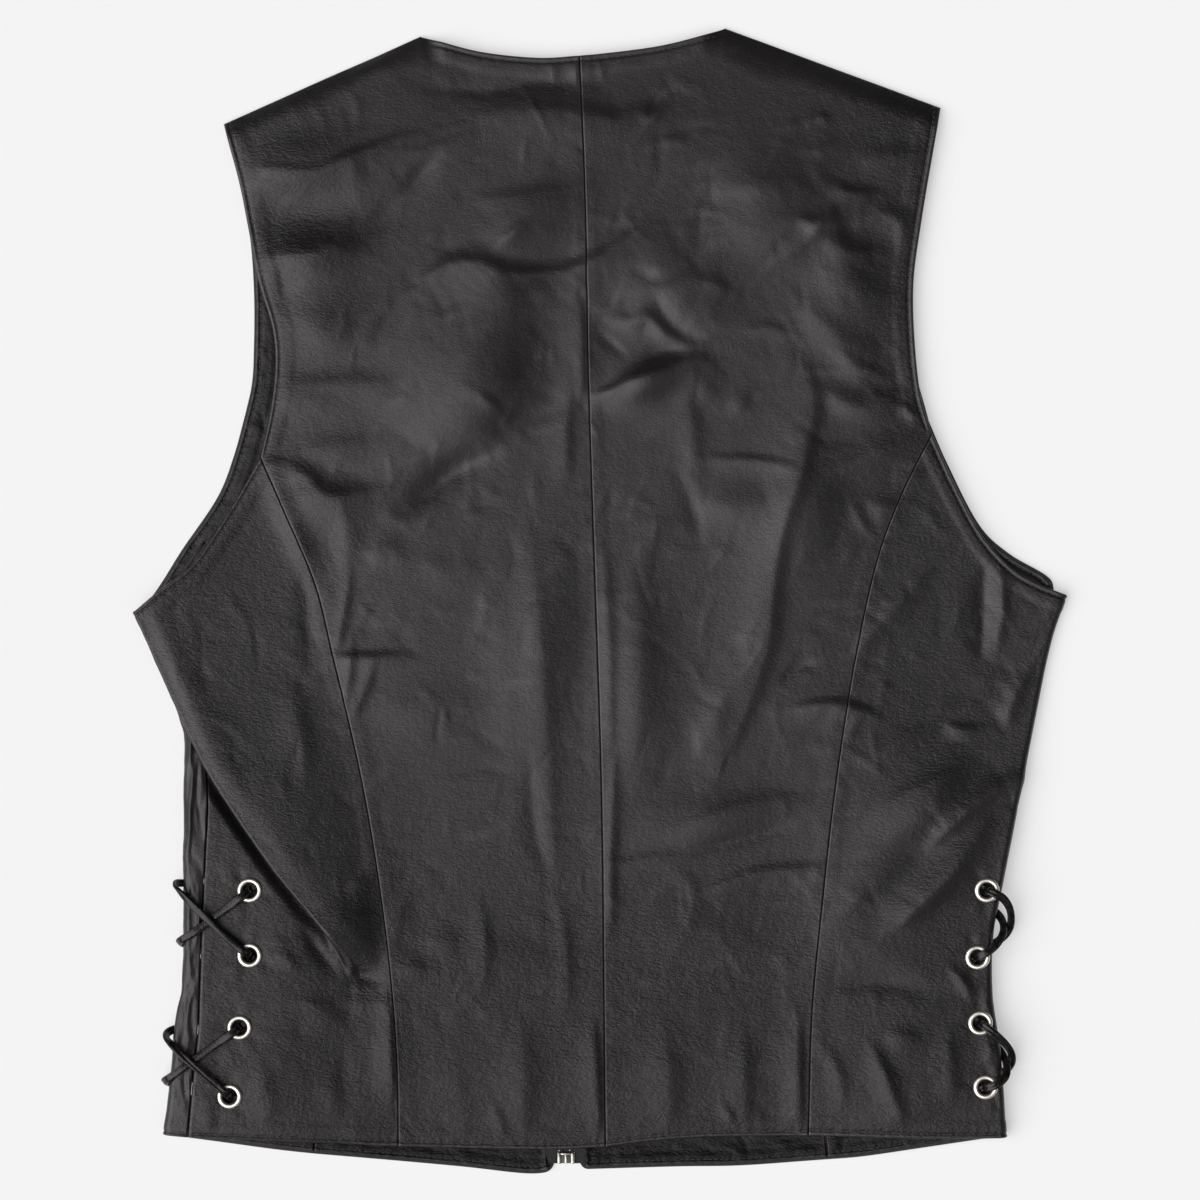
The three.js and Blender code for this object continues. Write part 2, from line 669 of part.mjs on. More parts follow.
// Where the fold's profile has gone after a length of it, out along the row and down.
function foldProfile(turn, run) {
  const places = [];
  let out = 0;
  let down = 0;
  let angle = 0;
  const advance = (length, turned, steps) => {
    for (let k = 0; k < steps; k++) {
      const heading = angle + turned / steps / 2;
      out += (length / steps) * Math.cos(heading);
      down += (length / steps) * Math.sin(heading);
      angle += turned / steps;
      places.push({ out, down });
    }
  };
  advance(turnLength, turn, turnSteps);
  advance(run, 0, 1);
  advance(backTurnLength, -turn, backTurnSteps);
  return places;
}

{
  const top = along([...left.lowerArmhole, foldStart[0]], sideColumns);
  const hem = along([...leftSideHem, foldStart.at(-1)], sideColumns);
  const rows = patch(top, hem, shoulders.left.princess, foldStart);
  setHeights(rows, backSurface);
  rows.forEach((row, i) => {
    const turn = THREE.MathUtils.degToRad(THREE.MathUtils.clamp(station("turn", shares[i]), 0, 180));
    const places = foldProfile(turn, Math.max(station("run", shares[i]), leastRun));
    const ended = foldStart[i].clone().addScaledVector(foldOut[i], places.at(-1).out);
    const lowest = lowerBackHeight(ended.x, ended.y);
    const start = row[sideColumns];
    const rise = lowest + places.at(-1).down - start.z;
    row.forEach((point, j) => {
      point.z += rise * smooth(j / sideColumns);
    });
    for (const { out, down } of places) {
      const point = start.clone().addScaledVector(foldOut[i], out);
      point.z = lowest + places.at(-1).down - down;
      row.push(point);
    }
    for (let k = 1; k <= lowerColumns; k++) {
      const point = ended.clone().lerp(leftSeam[i], k / lowerColumns);
      point.z = lowerBackHeight(point.x, point.y);
      row.push(point);
    }
  });
  const seamNormals = new Map();
  for (const row of rows) {
    seamNormals.set(row[0], normalOf(backSurface, row[0].x, row[0].y));
    seamNormals.set(row.at(-1), normalOf(lowerBackHeight, row.at(-1).x, row.at(-1).y));
    openSeam(row, "start");
    openSeam(row, "end");
  }
  const holes = eyelets.filter(({ side }) => side === "left").map(({ back }) => back);
  add("side_back_left", withHoles(wall([rows], { seamNormals }), holes, lowerBackHeight), leatherBlack);
}

// The right side back, which rolls under at the right edge
const rightEdgePoints = along(rightEdge, seamRows);
const rightOut = rightEdgePoints.map((_, i) => squareTo(rightEdgePoints, i, 1));
const rightSeam = [];
{
  const rollStart = rightEdgePoints.map((point, i) => {
    const inside = point.clone().addScaledVector(rightOut[i], -backHeight / 2);
    const radius = (lowerBackHeight(inside.x, inside.y) - frontHeight(inside.x, inside.y)) / 2;
    return point.clone().addScaledVector(rightOut[i], -radius);
  });
  const top = along([...right.lowerArmhole, rollStart[0]], sideColumns);
  const hem = along([...rightSideHem, rollStart.at(-1)], sideColumns);
  const rows = patch(top, hem, shoulders.right.princess, rollStart);
  setHeights(rows, backSurface);
  const seamNormals = new Map();
  rows.forEach((row, i) => {
    const start = row.at(-1);
    const low = frontHeight(start.x, start.y);
    row.push(...halfRoll(start, rightOut[i], low - start.z, rollSteps));
    const under = THREE.MathUtils.lerp(tipUnder, sideUnder, smooth(shares[i] / tipShare));
    for (const share of [0.5, 1]) {
      const point = start.clone().addScaledVector(rightOut[i], -under * share);
      row.push(point.setZ(frontHeight(point.x, point.y)));
    }
    rightSeam.push(row.at(-1).clone());
    seamNormals.set(row[0], normalOf(backSurface, row[0].x, row[0].y));
    seamNormals.set(row.at(-1), normalOf(frontHeight, row.at(-1).x, row.at(-1).y).negate());
    openSeam(row, "start");
    openSeam(row, "end");
  });
  const holes = eyelets.filter(({ side }) => side === "right").map(({ back }) => back);
  add("side_back_right", withHoles(wall([rows], { seamNormals }), holes, lowerBackHeight), leatherBlack);
}

// Fronts, from the V neck and the zip to the armhole and the front princess seam
const frontRows = {};
for (const side of [left, right]) {
  const { seam, outward } = shoulders[side.name];
  const inner = [
    ...along([seam[0], ...side.frontNeckline], armholeRows),
    ...along([side.frontNeckline.at(-1), side.frontHem[0]], seamRows).slice(1),
  ];
  const armhole = along([seam.at(-1), ...side.frontArmhole], armholeRows);
  const princess = along(side.frontPrincess, seamRows);
  const hem = along(side.frontHem, shoulderColumns);
  const rows = patch(seam, hem, inner, [...armhole, ...princess.slice(1)]);
  setHeights(rows, frontHeight);
  frontRows[side.name] = { rows: rows.map((row) => row.map((point) => point.clone())), princess };
  const seamNormals = new Map();
  rows.forEach((row, i) => {
    if (i < armholeRows) return;
    seamNormals.set(row.at(-1), normalOf(frontHeight, row.at(-1).x, row.at(-1).y).negate());
    openSeam(row, "end");
  });
  for (const point of rows[0]) {
    seamNormals.set(point, new THREE.Vector3(0, 0, -1));
    point.addScaledVector(outward, -gap / 2);
  }
  add("front_" + side.name, wall([rows], { faceUp: false, seamNormals }), leatherBlack);
}

// The left side front, which rolls up round the left edge to its seam on top
{
  const edge = shares.map((at) => new THREE.Vector3(station("rollX", at), station("rollY", at), 0));
  const out = edge.map((_, i) => squareTo(edge, i, -1));
  const rollStart = edge.map((point, i) => {
    const radius = (lowerBackHeight(point.x, point.y) - frontHeight(point.x, point.y)) / 2;
    return point.clone().addScaledVector(out[i], -radius);
  });
  const top = along([...left.frontLowerArmhole, rollStart[0]], frontSideColumns);
  const hem = along([...leftFrontSideHem, rollStart.at(-1)], frontSideColumns);
  const rows = patch(top, hem, frontRows.left.princess, rollStart);
  setHeights(rows, frontHeight);
  frontRows.left.side = rows.map((row) => row.map((point) => point.clone()));
  const seamNormals = new Map();
  rows.forEach((row, i) => {
    const start = row.at(-1);
    const high = lowerBackHeight(start.x, start.y);
    row.push(...halfRoll(start, out[i], high - start.z, rollSteps));
    for (const share of [0.5, 1]) {
      const point = row[frontSideColumns + rollSteps].clone().lerp(leftSeam[i], share);
      row.push(point.setZ(lowerBackHeight(point.x, point.y)));
    }
    seamNormals.set(row[0], normalOf(frontHeight, row[0].x, row[0].y).negate());
    seamNormals.set(row.at(-1), normalOf(lowerBackHeight, row.at(-1).x, row.at(-1).y));
    openSeam(row, "start");
    openSeam(row, "end");
  });
  const holes = eyelets.filter(({ side }) => side === "left").map(({ front }) => front);
  const geometry = wall([rows], { faceUp: false, seamNormals });
  const lowHoles = (x, y) => frontHeight(x, y) - foldedHoleDrop;
  add("side_front_left", withHoles(geometry, holes, lowHoles), leatherBlack);
}

// The right side front, flat from the front princess seam to the side seam underneath
{
  const top = along([...right.frontLowerArmhole, rightSeam[0]], frontSideColumns);
  const hem = along([...rightFrontSideHem, rightSeam.at(-1)], frontSideColumns);
  const rows = patch(top, hem, frontRows.right.princess, rightSeam);
  setHeights(rows, frontHeight);
  frontRows.right.side = rows.map((row) => row.map((point) => point.clone()));
  const seamNormals = new Map();
  for (const row of rows) {
    for (const point of [row[0], row.at(-1)]) {
      seamNormals.set(point, normalOf(frontHeight, point.x, point.y).negate());
    }
    openSeam(row, "start");
    openSeam(row, "end");
  }
  const holes = eyelets.filter(({ side }) => side === "right").map(({ front }) => front);
  const geometry = wall([rows], { faceUp: false, seamNormals });
  add("side_front_right", withHoles(geometry, holes, frontHeight), leatherBlack);
}

// Facings inside the fronts' armholes and hems, made from the fronts' own points
const facingLift = leather + gap + trim;
for (const side of [left, right]) {
  const { rows, side: sideRows } = frontRows[side.name];
  const armholeEdge = rows.slice(0, armholeRows + 1).map((row) => row.at(-1));
  const armholeInner = rows.slice(0, armholeRows).map((row) => row.at(-2));
  const lowerEdge = sideRows[0].slice(1);
  const lowerInner = sideRows[1];
  const strip = [
    [...armholeEdge, ...lowerEdge],
    [...armholeInner, ...lowerInner],
  ];
  const facing = liftedRows(strip, facingLift);
  const [outerRow, innerRow] = facing;
  for (const row of [outerRow, innerRow]) row.at(-1).lerp(row.at(-2), facingTipShare);
  outerRow.forEach((point, j) => point.lerp(innerRow[j], facingEdgeShare));
  for (const row of [outerRow, innerRow]) row[0].lerp(row[1], facingShoulderShare);
  add("armhole_facing_" + side.name, wall([facing], { thickness: trim }), facingBlack);

  const centre = liftedRows(rows.slice(-2), facingLift);
  for (const row of centre) row[0].z += facingOverTape;
  const outer = liftedRows(sideRows.slice(-2), facingLift);
  const back = side === left ? 1 - facingSideShare : facingSideShare;
  for (const row of outer) row.at(-1).lerp(row.at(-2), back);
  for (const [name, band] of [["centre", centre], ["side", outer]]) {
    for (const row of band) {
      openSeam(row, "start");
      openSeam(row, "end");
    }
    band[1].forEach((point, j) => point.lerp(band[0][j], facingHemShare));
    add("hem_facing_" + name + "_" + side.name, wall([band], { thickness: trim }), facingBlack);
  }
}

// Zip tapes, inside the fronts' edges, with a notch for the box at the hem
for (const side of [left, right]) {
  const zipRows = frontRows[side.name].rows.slice(armholeRows);
  const tapeRows = zipRows.map((row, i) => {
    const edge = row[0];
    const inwards = new THREE.Vector3(zipX + side.outward * tapeHalfGap, edge.y, edge.z);
    const outer = inwards.clone().setX(inwards.x + side.outward * tapeWidth);
    outer.z = THREE.MathUtils.lerp(edge.z, row[1].z, Math.abs((outer.x - edge.x) / (row[1].x - edge.x)));
    const points = [inwards, edge.clone(), outer];
    if (i === zipRows.length - 1) points.forEach((point) => point.setY(zipBox.y - zipBox.length / 2));
    points.forEach((point) => point.setZ(point.z + leather + gap + trim));
    return points;
  });
  const half = [zipBox.width / 2 + gap, zipBox.length / 2 + gap];
  const notch = block([zipX - half[0], zipBox.y - half[1], 0], [zipX + half[0], zipBox.y + half[1], 9]);
  add("zip_tape_" + side.name, cut(wall([tapeRows], { thickness: trim }), [notch]), tapeBlack);
}

// Zip box at the hem
add(
  "zip_box",
  block(
    [zipX - zipBox.width / 2, zipBox.y - zipBox.length / 2, zipBox.low],
    [zipX + zipBox.width / 2, zipBox.y + zipBox.length / 2, zipBox.high],
  ),
  nickel,
);

// Zip slider: two plates on a post, with a bridge under the outer plate for the pull
{
  const plate = new THREE.Shape();
  const [halfWidth, halfLength] = [slider.width / 2, slider.length / 2];
  plate.moveTo(-halfWidth, halfLength);
  plate.lineTo(-halfWidth * sliderTaper, -halfLength);
  plate.lineTo(halfWidth * sliderTaper, -halfLength);
  plate.lineTo(halfWidth, halfLength);
  plate.quadraticCurveTo(0, halfLength * sliderBow, -halfWidth, halfLength);
  const plateAt = (low, high) => {
    const settings = { depth: high - low, bevelEnabled: false, curveSegments: 4 };
    return new THREE.ExtrudeGeometry(plate, settings).translate(zipX, slider.y, low);
  };
  const bar = (halfAcross, [yLow, yHigh], [zLow, zHigh]) =>
    block([zipX - halfAcross, slider.y + yLow, zLow], [zipX + halfAcross, slider.y + yHigh, zHigh]);
  const end = bridge.length / 2;
  const postHeights = [bridge.low, slider.plateLow + weldOverlap];
  const parts = [
    plateAt(slider.plateLow, slider.gapLow),
    plateAt(slider.gapHigh, slider.top),
    bar(
      sliderPost.halfWidth,
      [sliderPost.yLow, sliderPost.yHigh],
      [slider.gapLow - weldOverlap, slider.gapHigh + weldOverlap],
    ),
    bar(bridge.width / 2, [-end, end], [bridge.low, bridge.high]),
    bar(bridge.width / 2, [-end, bridge.post - end], postHeights),
    bar(bridge.width / 2, [end - bridge.post, end], postHeights),
  ];
  add("zip_slider", join(parts), nickel);
}

// Zip pull: a flat tab whose hole lies round the slider's bridge, so that it hinges on the rim above the hole
{
  const half = pull.width / 2;
  const top = pull.rim / 2;
  const tab = new THREE.Shape();
  tab.moveTo(-half + pull.corner, top);
  tab.lineTo(-half, top - pull.corner);
  tab.lineTo(-half, -pull.length + half);
  tab.absarc(0, -pull.length + half, half, Math.PI, 2 * Math.PI, false);
  tab.lineTo(half, top - pull.corner);
  tab.lineTo(half - pull.corner, top);
  const hole = new THREE.Path();
  hole.moveTo(-pullHole.width / 2, -top);
  hole.lineTo(pullHole.width / 2, -top);
  hole.lineTo(pullHole.width / 2, -top - pullHole.length);
  hole.lineTo(-pullHole.width / 2, -top - pullHole.length);
  tab.holes.push(hole);
  const settings = { depth: pull.thickness, bevelEnabled: false, curveSegments: 6 };
  const geometry = new THREE.ExtrudeGeometry(tab, settings).translate(0, 0, -pull.thickness / 2);
  const mesh = add("zip_pull", geometry, nickel);
  mesh.position.set(zipX, slider.y, pull.pivot);
  mesh.rotation.x = THREE.MathUtils.degToRad(pull.tilt);
}

// Eyelets: a rounded flange outside, a barrel through the leather and a smaller flange inside
for (const face of ["back", "front"]) {
  const turned = face === "back" ? 0 : Math.PI;
  const height = face === "back" ? lowerBackHeight : frontHeight;
  const profile = [
    [eyelet.bore, -leather - eyelet.below],
    [eyelet.inner, -leather - eyelet.below],
    [eyelet.barrel, -leather - gap],
    [eyelet.barrel, gap],
    [eyelet.flange, gap],
    [(eyelet.flange + eyelet.bore) / 2, eyelet.rise],
    [eyelet.bore, eyelet.lip],
    [eyelet.bore, -leather - eyelet.below],
  ].map(([radius, up]) => new THREE.Vector2(radius, up));
  eyelets.forEach((pair, i) => {
    const { x, y } = pair[face];
    const geometry = new THREE.LatheGeometry(profile, eyeletSides).rotateX(Math.PI / 2 + turned);
    const mesh = add("eyelet_" + face + "_" + pair.side + "_" + ((i % 4) + 1), geometry, nickel);
    mesh.position.set(x, y, height(x, y));
  });
}

// Laces
const laceSection = new THREE.Shape();
for (let k = 0; k < laceSides; k++) {
  const angle = (2 * Math.PI * (k + 0.5)) / laceSides;
  const corner = [(laceDiameter / 2) * Math.cos(angle), (laceDiameter / 2) * Math.sin(angle)];
  if (k === 0) laceSection.moveTo(...corner);
  else laceSection.lineTo(...corner);
}
for (const [name, route] of Object.entries(laces)) {
  const through = route.map((point) => new THREE.Vector3(...point));
  const extrudePath = new THREE.CatmullRomCurve3(through, false, "centripetal");
  const settings = { extrudePath, steps: laceSteps, curveSegments: 1 };
  add(name, new THREE.ExtrudeGeometry(laceSection, settings), laceBlack);
}

export default group;
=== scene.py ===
import math

import bpy
import numpy as np
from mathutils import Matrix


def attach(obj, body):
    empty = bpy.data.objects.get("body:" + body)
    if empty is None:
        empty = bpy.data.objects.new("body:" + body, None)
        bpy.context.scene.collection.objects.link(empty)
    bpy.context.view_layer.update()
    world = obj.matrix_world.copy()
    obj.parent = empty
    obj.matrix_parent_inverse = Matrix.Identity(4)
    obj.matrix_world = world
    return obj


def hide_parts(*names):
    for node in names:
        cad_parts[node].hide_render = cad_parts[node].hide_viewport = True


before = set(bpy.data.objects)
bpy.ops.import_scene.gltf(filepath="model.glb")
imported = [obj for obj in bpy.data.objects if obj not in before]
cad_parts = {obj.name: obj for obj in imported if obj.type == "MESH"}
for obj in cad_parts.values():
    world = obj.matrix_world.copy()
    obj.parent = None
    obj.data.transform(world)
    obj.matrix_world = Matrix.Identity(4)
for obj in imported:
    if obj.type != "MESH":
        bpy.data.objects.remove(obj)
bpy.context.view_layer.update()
scene = bpy.context.scene

# Camera: it looks straight down on the vest from far enough for little perspective, and takes in 648 mm
# at the height of the leather.
PHOTO_WIDTH = 0.648
LEATHER_HEIGHT = 0.009
camera_data = bpy.data.cameras.new("camera")
camera_data.lens = 150
camera_data.sensor_width = 36
camera = bpy.data.objects.new("camera", camera_data)
camera.location.z = LEATHER_HEIGHT + PHOTO_WIDTH * camera_data.lens / camera_data.sensor_width
scene.collection.objects.link(camera)
scene.camera = camera


# Laces: black leather strips, folded lengthwise so that a crease runs along them. Each is threaded through
# four eyelets and round the vest's edge, and ends inside. The points of its way are in millimetres.
MM = 0.001
LACE_WIDTH = 4.6
LACE_THICKNESS = 2.3
LACE_RINGS = 260
LACE_SIDES = 22
lace_routes = {
    "lace_left_upper": [
        [-180, -150, 7.9], [-185.5, -154.2, 8.0], [-188.5, -156.3, 9.2], [-189, -156.6, 11.6],
        [-190, -157.4, 13.9], [-193.6, -160.2, 14.9], [-200, -165.3, 14.1], [-207, -170.4, 13.7],
        [-214, -175.6, 13.7], [-220.6, -180.3, 13.6], [-225.2, -182.9, 12.1], [-227.2, -184.5, 9.2],
        [-227.0, -185.8, 5.8], [-224.2, -187.4, 2.8], [-219.6, -189, 1.65], [-216, -190, 2.4],
        [-214.5, -190.2, 4.9], [-214.4, -189.6, 7.4], [-214.7, -186.4, 8.6], [-215.0, -179, 8.2],
        [-215.1, -172, 7.9], [-215.2, -165, 8.2], [-215.4, -158, 8.6], [-215.5, -154.8, 7.2],
        [-215.6, -154.3, 4.8], [-217.0, -154.0, 2.4], [-220.8, -153.6, 1.65], [-225.9, -153.2, 3.4],
        [-229.0, -153.3, 7.0], [-228.8, -155, 10.8], [-225.6, -158.2, 14.2], [-219.5, -164.2, 16.5],
        [-211, -172, 17.2], [-203, -179.8, 16.4], [-196, -186, 15.2], [-191.4, -190.0, 14.6],
        [-189.3, -191.6, 12.4], [-188.8, -192.0, 9.2], [-186.8, -193.8, 8.05], [-180, -199, 7.9],
    ],
    "lace_left_lower": [
        [-186, -224, 7.9], [-191, -228.2, 8.0], [-193.9, -230.3, 9.2], [-194.4, -230.6, 11.6],
        [-195.4, -231.3, 13.9], [-199, -234, 14.9], [-205, -238.2, 14.1], [-212, -243.2, 13.8],
        [-219, -248.2, 13.8], [-226.5, -253.6, 13.9], [-232.4, -257.8, 12.6], [-235.0, -259.8, 9.2],
        [-234.8, -261, 5.6], [-231.8, -262.6, 2.7], [-227.2, -263.6, 1.7], [-224, -264, 2.4],
        [-222.6, -264.1, 4.9], [-222.5, -263.4, 7.4], [-222.4, -260.2, 8.6], [-222, -254, 8.2],
        [-221.5, -248, 7.9], [-221, -242, 8.2], [-220.6, -235.6, 8.6], [-220.5, -232.4, 7.2],
        [-220.6, -231.9, 4.8], [-222, -231.8, 2.4], [-225.6, -231.8, 1.7], [-230.4, -232.4, 3.2],
        [-233.8, -234, 6.8], [-234.0, -236.2, 10.6], [-231.4, -239, 14.0], [-226.5, -243.6, 16.4],
        [-220.4, -249.2, 17.2], [-213, -256, 16.4], [-206.4, -261.8, 15.2], [-202.0, -265.8, 14.6],
        [-200.1, -267.6, 12.4], [-199.8, -268.0, 9.6], [-198.2, -269.0, 8.1], [-192, -271.4, 7.9],
    ],
    "lace_right_upper": [
        [199, -150, 7.9], [206.0, -154.6, 8.0], [208.4, -156.3, 9.1], [208.8, -156.5, 11.6],
        [209.6, -156.9, 13.9], [212.8, -158.2, 14.9], [217.2, -160.8, 14.2], [220.6, -165.6, 12.4],
        [222.0, -171.4, 9.6], [221.2, -177.6, 6.0], [217.4, -183.0, 2.9], [210, -187.4, 1.75],
        [201, -189.8, 1.7], [190, -191.4, 1.7], [183.4, -191.9, 1.8], [180.6, -192, 4.0],
        [180, -191.8, 6.4], [180, -189.4, 8.4], [180, -183, 8.4], [180, -174, 7.9],
        [180, -165, 8.4], [180, -158.6, 8.4], [180, -156.2, 6.4], [180.6, -156, 4.0],
        [183.4, -156.3, 1.8], [190, -158.2, 1.7], [199, -161.0, 1.7], [207, -164.4, 2.0],
        [213.4, -168.4, 3.4], [217.2, -172.8, 6.4], [217.9, -177.4, 9.8], [216.2, -182.2, 12.8],
        [212.2, -187, 14.4], [207.4, -190.6, 14.9], [204.5, -192.4, 13.6], [203.7, -192.8, 11.2],
        [203.1, -193.4, 9.0], [200, -196, 8.0], [194, -200, 7.9],
    ],
    "lace_right_lower": [
        [196, -222, 7.9], [202, -226, 8.0], [204.7, -227.9, 9.2], [205.2, -228.2, 11.6],
        [206.2, -229, 13.9], [209.6, -231.4, 14.9], [214.6, -235.6, 14.4], [219.4, -240.4, 12.8],
        [222.2, -245.4, 9.6], [222.2, -250.6, 6.0], [218.6, -255.2, 2.9], [211, -258.2, 1.75],
        [202, -260.2, 1.7], [191.6, -261.6, 1.7], [185.4, -261.9, 1.8], [182.6, -262, 4.0],
        [182, -261.8, 6.4], [182, -259.4, 8.4], [182, -253, 8.4], [182, -245, 7.9],
        [182, -237, 8.4], [182, -230.6, 8.4], [182, -228.2, 6.4], [182.6, -228, 4.0],
        [185.4, -228.3, 1.8], [192, -230.2, 1.7], [200.6, -233.6, 1.7], [209, -238, 2.0],
        [215.6, -242.8, 3.6], [218.6, -247.4, 6.6], [219.6, -252.2, 10.0], [218.8, -256.4, 13.0],
        [216, -259.6, 14.6], [212.4, -261.8, 14.9], [209, -262.8, 13.6], [208, -263, 11.2],
        [207.8, -263.2, 8.9], [205.6, -264.4, 8.0], [198, -268.4, 7.9],
    ],
}


class Value:
    """A number in a finish's nodes, which Python's operators work on."""

    def __init__(self, finish, socket):
        self.finish = finish
        self.socket = socket

    def math(self, operation, *values):
        node = self.finish.node("ShaderNodeMath", {"operation": operation}, dict(enumerate(values)))
        return Value(self.finish, node.outputs["Value"])

    def __add__(self, other):
        return self.math("ADD", self, other)

    def __sub__(self, other):
        return self.math("SUBTRACT", self, other)

    def __rsub__(self, other):
        return self.math("SUBTRACT", other, self)

    def __mul__(self, other):
        return self.math("MULTIPLY", self, other)

    def __pow__(self, other):
        return self.math("POWER", self, other)

    __radd__ = __add__
    __rmul__ = __mul__

    def between(self, low, high):
        """0 up to low, 1 from high on, and smooth in between."""
        sockets = {"Value": self, "From Min": low, "From Max": high}
        node = self.finish.node("ShaderNodeMapRange", {"interpolation_type": "SMOOTHSTEP"}, sockets)
        return Value(self.finish, node.outputs["Result"])


def add_node(tree, kind, settings=None, sockets=None):
    """A node in a tree, with its settings and the values or links of its sockets."""
    node = tree.nodes.new(kind)
    for setting, value in (settings or {}).items():
        setattr(node, setting, value)
    for socket, value in (sockets or {}).items():
        value = value.socket if isinstance(value, Value) else value
        if isinstance(value, bpy.types.NodeSocket):
            tree.links.new(value, node.inputs[socket])
        else:
            node.inputs[socket].default_value = value
    return node


class Finish:
    """A material and the nodes that make it, on Object coordinates in metres."""

    def __init__(self, name):
        self.material = bpy.data.materials.new(name)
        self.material.use_nodes = True
        self.tree = self.material.node_tree
        self.tree.nodes.clear()
        self.places = self.node("ShaderNodeTexCoord").outputs["Object"]

    def node(self, kind, settings=None, sockets=None):
        return add_node(self.tree, kind, settings, sockets)

    def noise(self, places, scale, detail=2.0, roughness=0.5):
        sockets = {"Vector": places, "Scale": scale, "Detail": detail, "Roughness": roughness}
        return Value(self, self.node("ShaderNodeTexNoise", None, sockets).outputs["Fac"])

    def cells(self, places, scale, feature="F1"):
        """Distance from the middle (or the edge) of the cells of a pattern."""
        sockets = {"Vector": places, "Scale": scale}
        node = self.node("ShaderNodeTexVoronoi", {"feature": feature}, sockets)
        return Value(self, node.outputs["Distance"])

    def stretched(self, places, scale):
        return self.node("ShaderNodeMapping", None, {"Vector": places, "Scale": scale}).outputs["Vector"]

    def stirred(self, places, scale, amount):
        """The places, shifted unevenly by up to an amount in metres."""
        noise = self.node("ShaderNodeTexNoise", None, {"Vector": places, "Scale": scale}).outputs["Color"]
        sockets = {0: noise, 1: (amount, amount, amount), 2: places}
        return self.node("ShaderNodeVectorMath", {"operation": "MULTIPLY_ADD"}, sockets).outputs["Vector"]

    def attribute(self, name):
        return Value(self, self.node("ShaderNodeAttribute", {"attribute_name": name}).outputs["Fac"])

    def mixed(self, first, second, share):
        """A colour between two."""
        node = self.node("ShaderNodeMix", {"data_type": "RGBA"}, {0: share, 6: first, 7: second})
        return node.outputs[2]

    def surface(self, colour, roughness, height=None, depth=0.0, **own):
        """Closes the material: height, 0 to 1, is raised by depth in metres; own are the shader's values."""
        sockets = {"Base Color": colour, "Roughness": roughness}
        sockets.update({name.replace("_", " "): value for name, value in own.items()})
        if height is not None:
            bump = self.node("ShaderNodeBump", None, {"Height": height, "Distance": depth})
            sockets["Normal"] = bump.outputs["Normal"]
        shader = self.node("ShaderNodeBsdfPrincipled", None, sockets)
        self.node("ShaderNodeOutputMaterial", None, {"Surface": shader.outputs["BSDF"]})
        return self.material


def lace_leather():
    look = Finish("lace_leather")
    rub = look.attribute("rub")
    scuffs = look.noise(look.places, 420, 4, 0.6)
    grain = look.cells(look.stirred(look.places, 500, 0.001), 900)
    # Painted highlight: the colour goes paler along the edges of the lace's top face, where the attribute is
    # high, broken up by scuffs.
    colour = look.mixed((0.004, 0.0036, 0.0036, 1), (0.03, 0.027, 0.026, 1), rub * scuffs.between(0.35, 0.7))
    return look.surface(colour, 0.24 - 0.06 * rub, grain * 0.6 + scuffs, 0.00008, Specular_IOR_Level=0.28)


def curve_through(points, shares):
    """Points at shares of the length of a centripetal Catmull-Rom curve."""
    points = np.asarray(points, float)
    run = np.vstack([2 * points[0] - points[1], points, 2 * points[-1] - points[-2]])
    steps = np.sqrt(np.linalg.norm(np.diff(run, axis=0), axis=1))
    knots = np.concatenate([[0], np.cumsum(steps)])

    def blend(t, low, high, first, second):
        return ((knots[high] - t) * first + (t - knots[low]) * second) / (knots[high] - knots[low])

    fine = []
    for k in range(1, len(run) - 2):
        t = np.linspace(knots[k], knots[k + 1], 25)[:-1, None]
        before = blend(t, k - 1, k, run[k - 1], run[k])
        within = blend(t, k, k + 1, run[k], run[k + 1])
        after = blend(t, k + 1, k + 2, run[k + 1], run[k + 2])
        first = blend(t, k - 1, k + 1, before, within)
        second = blend(t, k, k + 2, within, after)
        fine.append(blend(t, k, k + 1, first, second))
    fine = np.vstack([*fine, points[-1:]])
    lengths = np.concatenate([[0], np.cumsum(np.linalg.norm(np.diff(fine, axis=0), axis=1))])
    wanted = np.asarray(shares) * lengths[-1]
    return np.stack([np.interp(wanted, lengths, fine[:, axis]) for axis in range(fine.shape[1])], -1)


def unit(vectors):
    return vectors / np.maximum(np.linalg.norm(vectors, axis=-1, keepdims=True), 1e-9)


def piece(name, points, faces, finish, body="vest", stands_for=(), values=None):
    """A smooth mesh object from points in millimetres, with a finish, on a body of the frame."""
    mesh = bpy.data.meshes.new(name)
    mesh.from_pydata((np.asarray(points) * MM).tolist(), [], [list(map(int, face)) for face in faces])
    mesh.shade_smooth()
    mesh.materials.append(finish)
    for attribute, numbers in (values or {}).items():
        data = mesh.attributes.new(attribute, "FLOAT", "POINT").data
        data.foreach_set("value", np.asarray(numbers, np.float32))
    obj = bpy.data.objects.new(name, mesh)
    scene.collection.objects.link(obj)
    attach(obj, body)
    if stands_for:
        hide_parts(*stands_for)
    return obj


def tube_faces(rings, sides):
    """Faces of a closed tube of rings of points, with both ends capped."""
    faces = []
    for i in range(rings - 1):
        for k in range(sides):
            low, high = i * sides, (i + 1) * sides
            faces.append((low + k, low + (k + 1) % sides, high + (k + 1) % sides, high + k))
    faces.append(range(sides - 1, -1, -1))
    faces.append(range((rings - 1) * sides, rings * sides))
    return faces


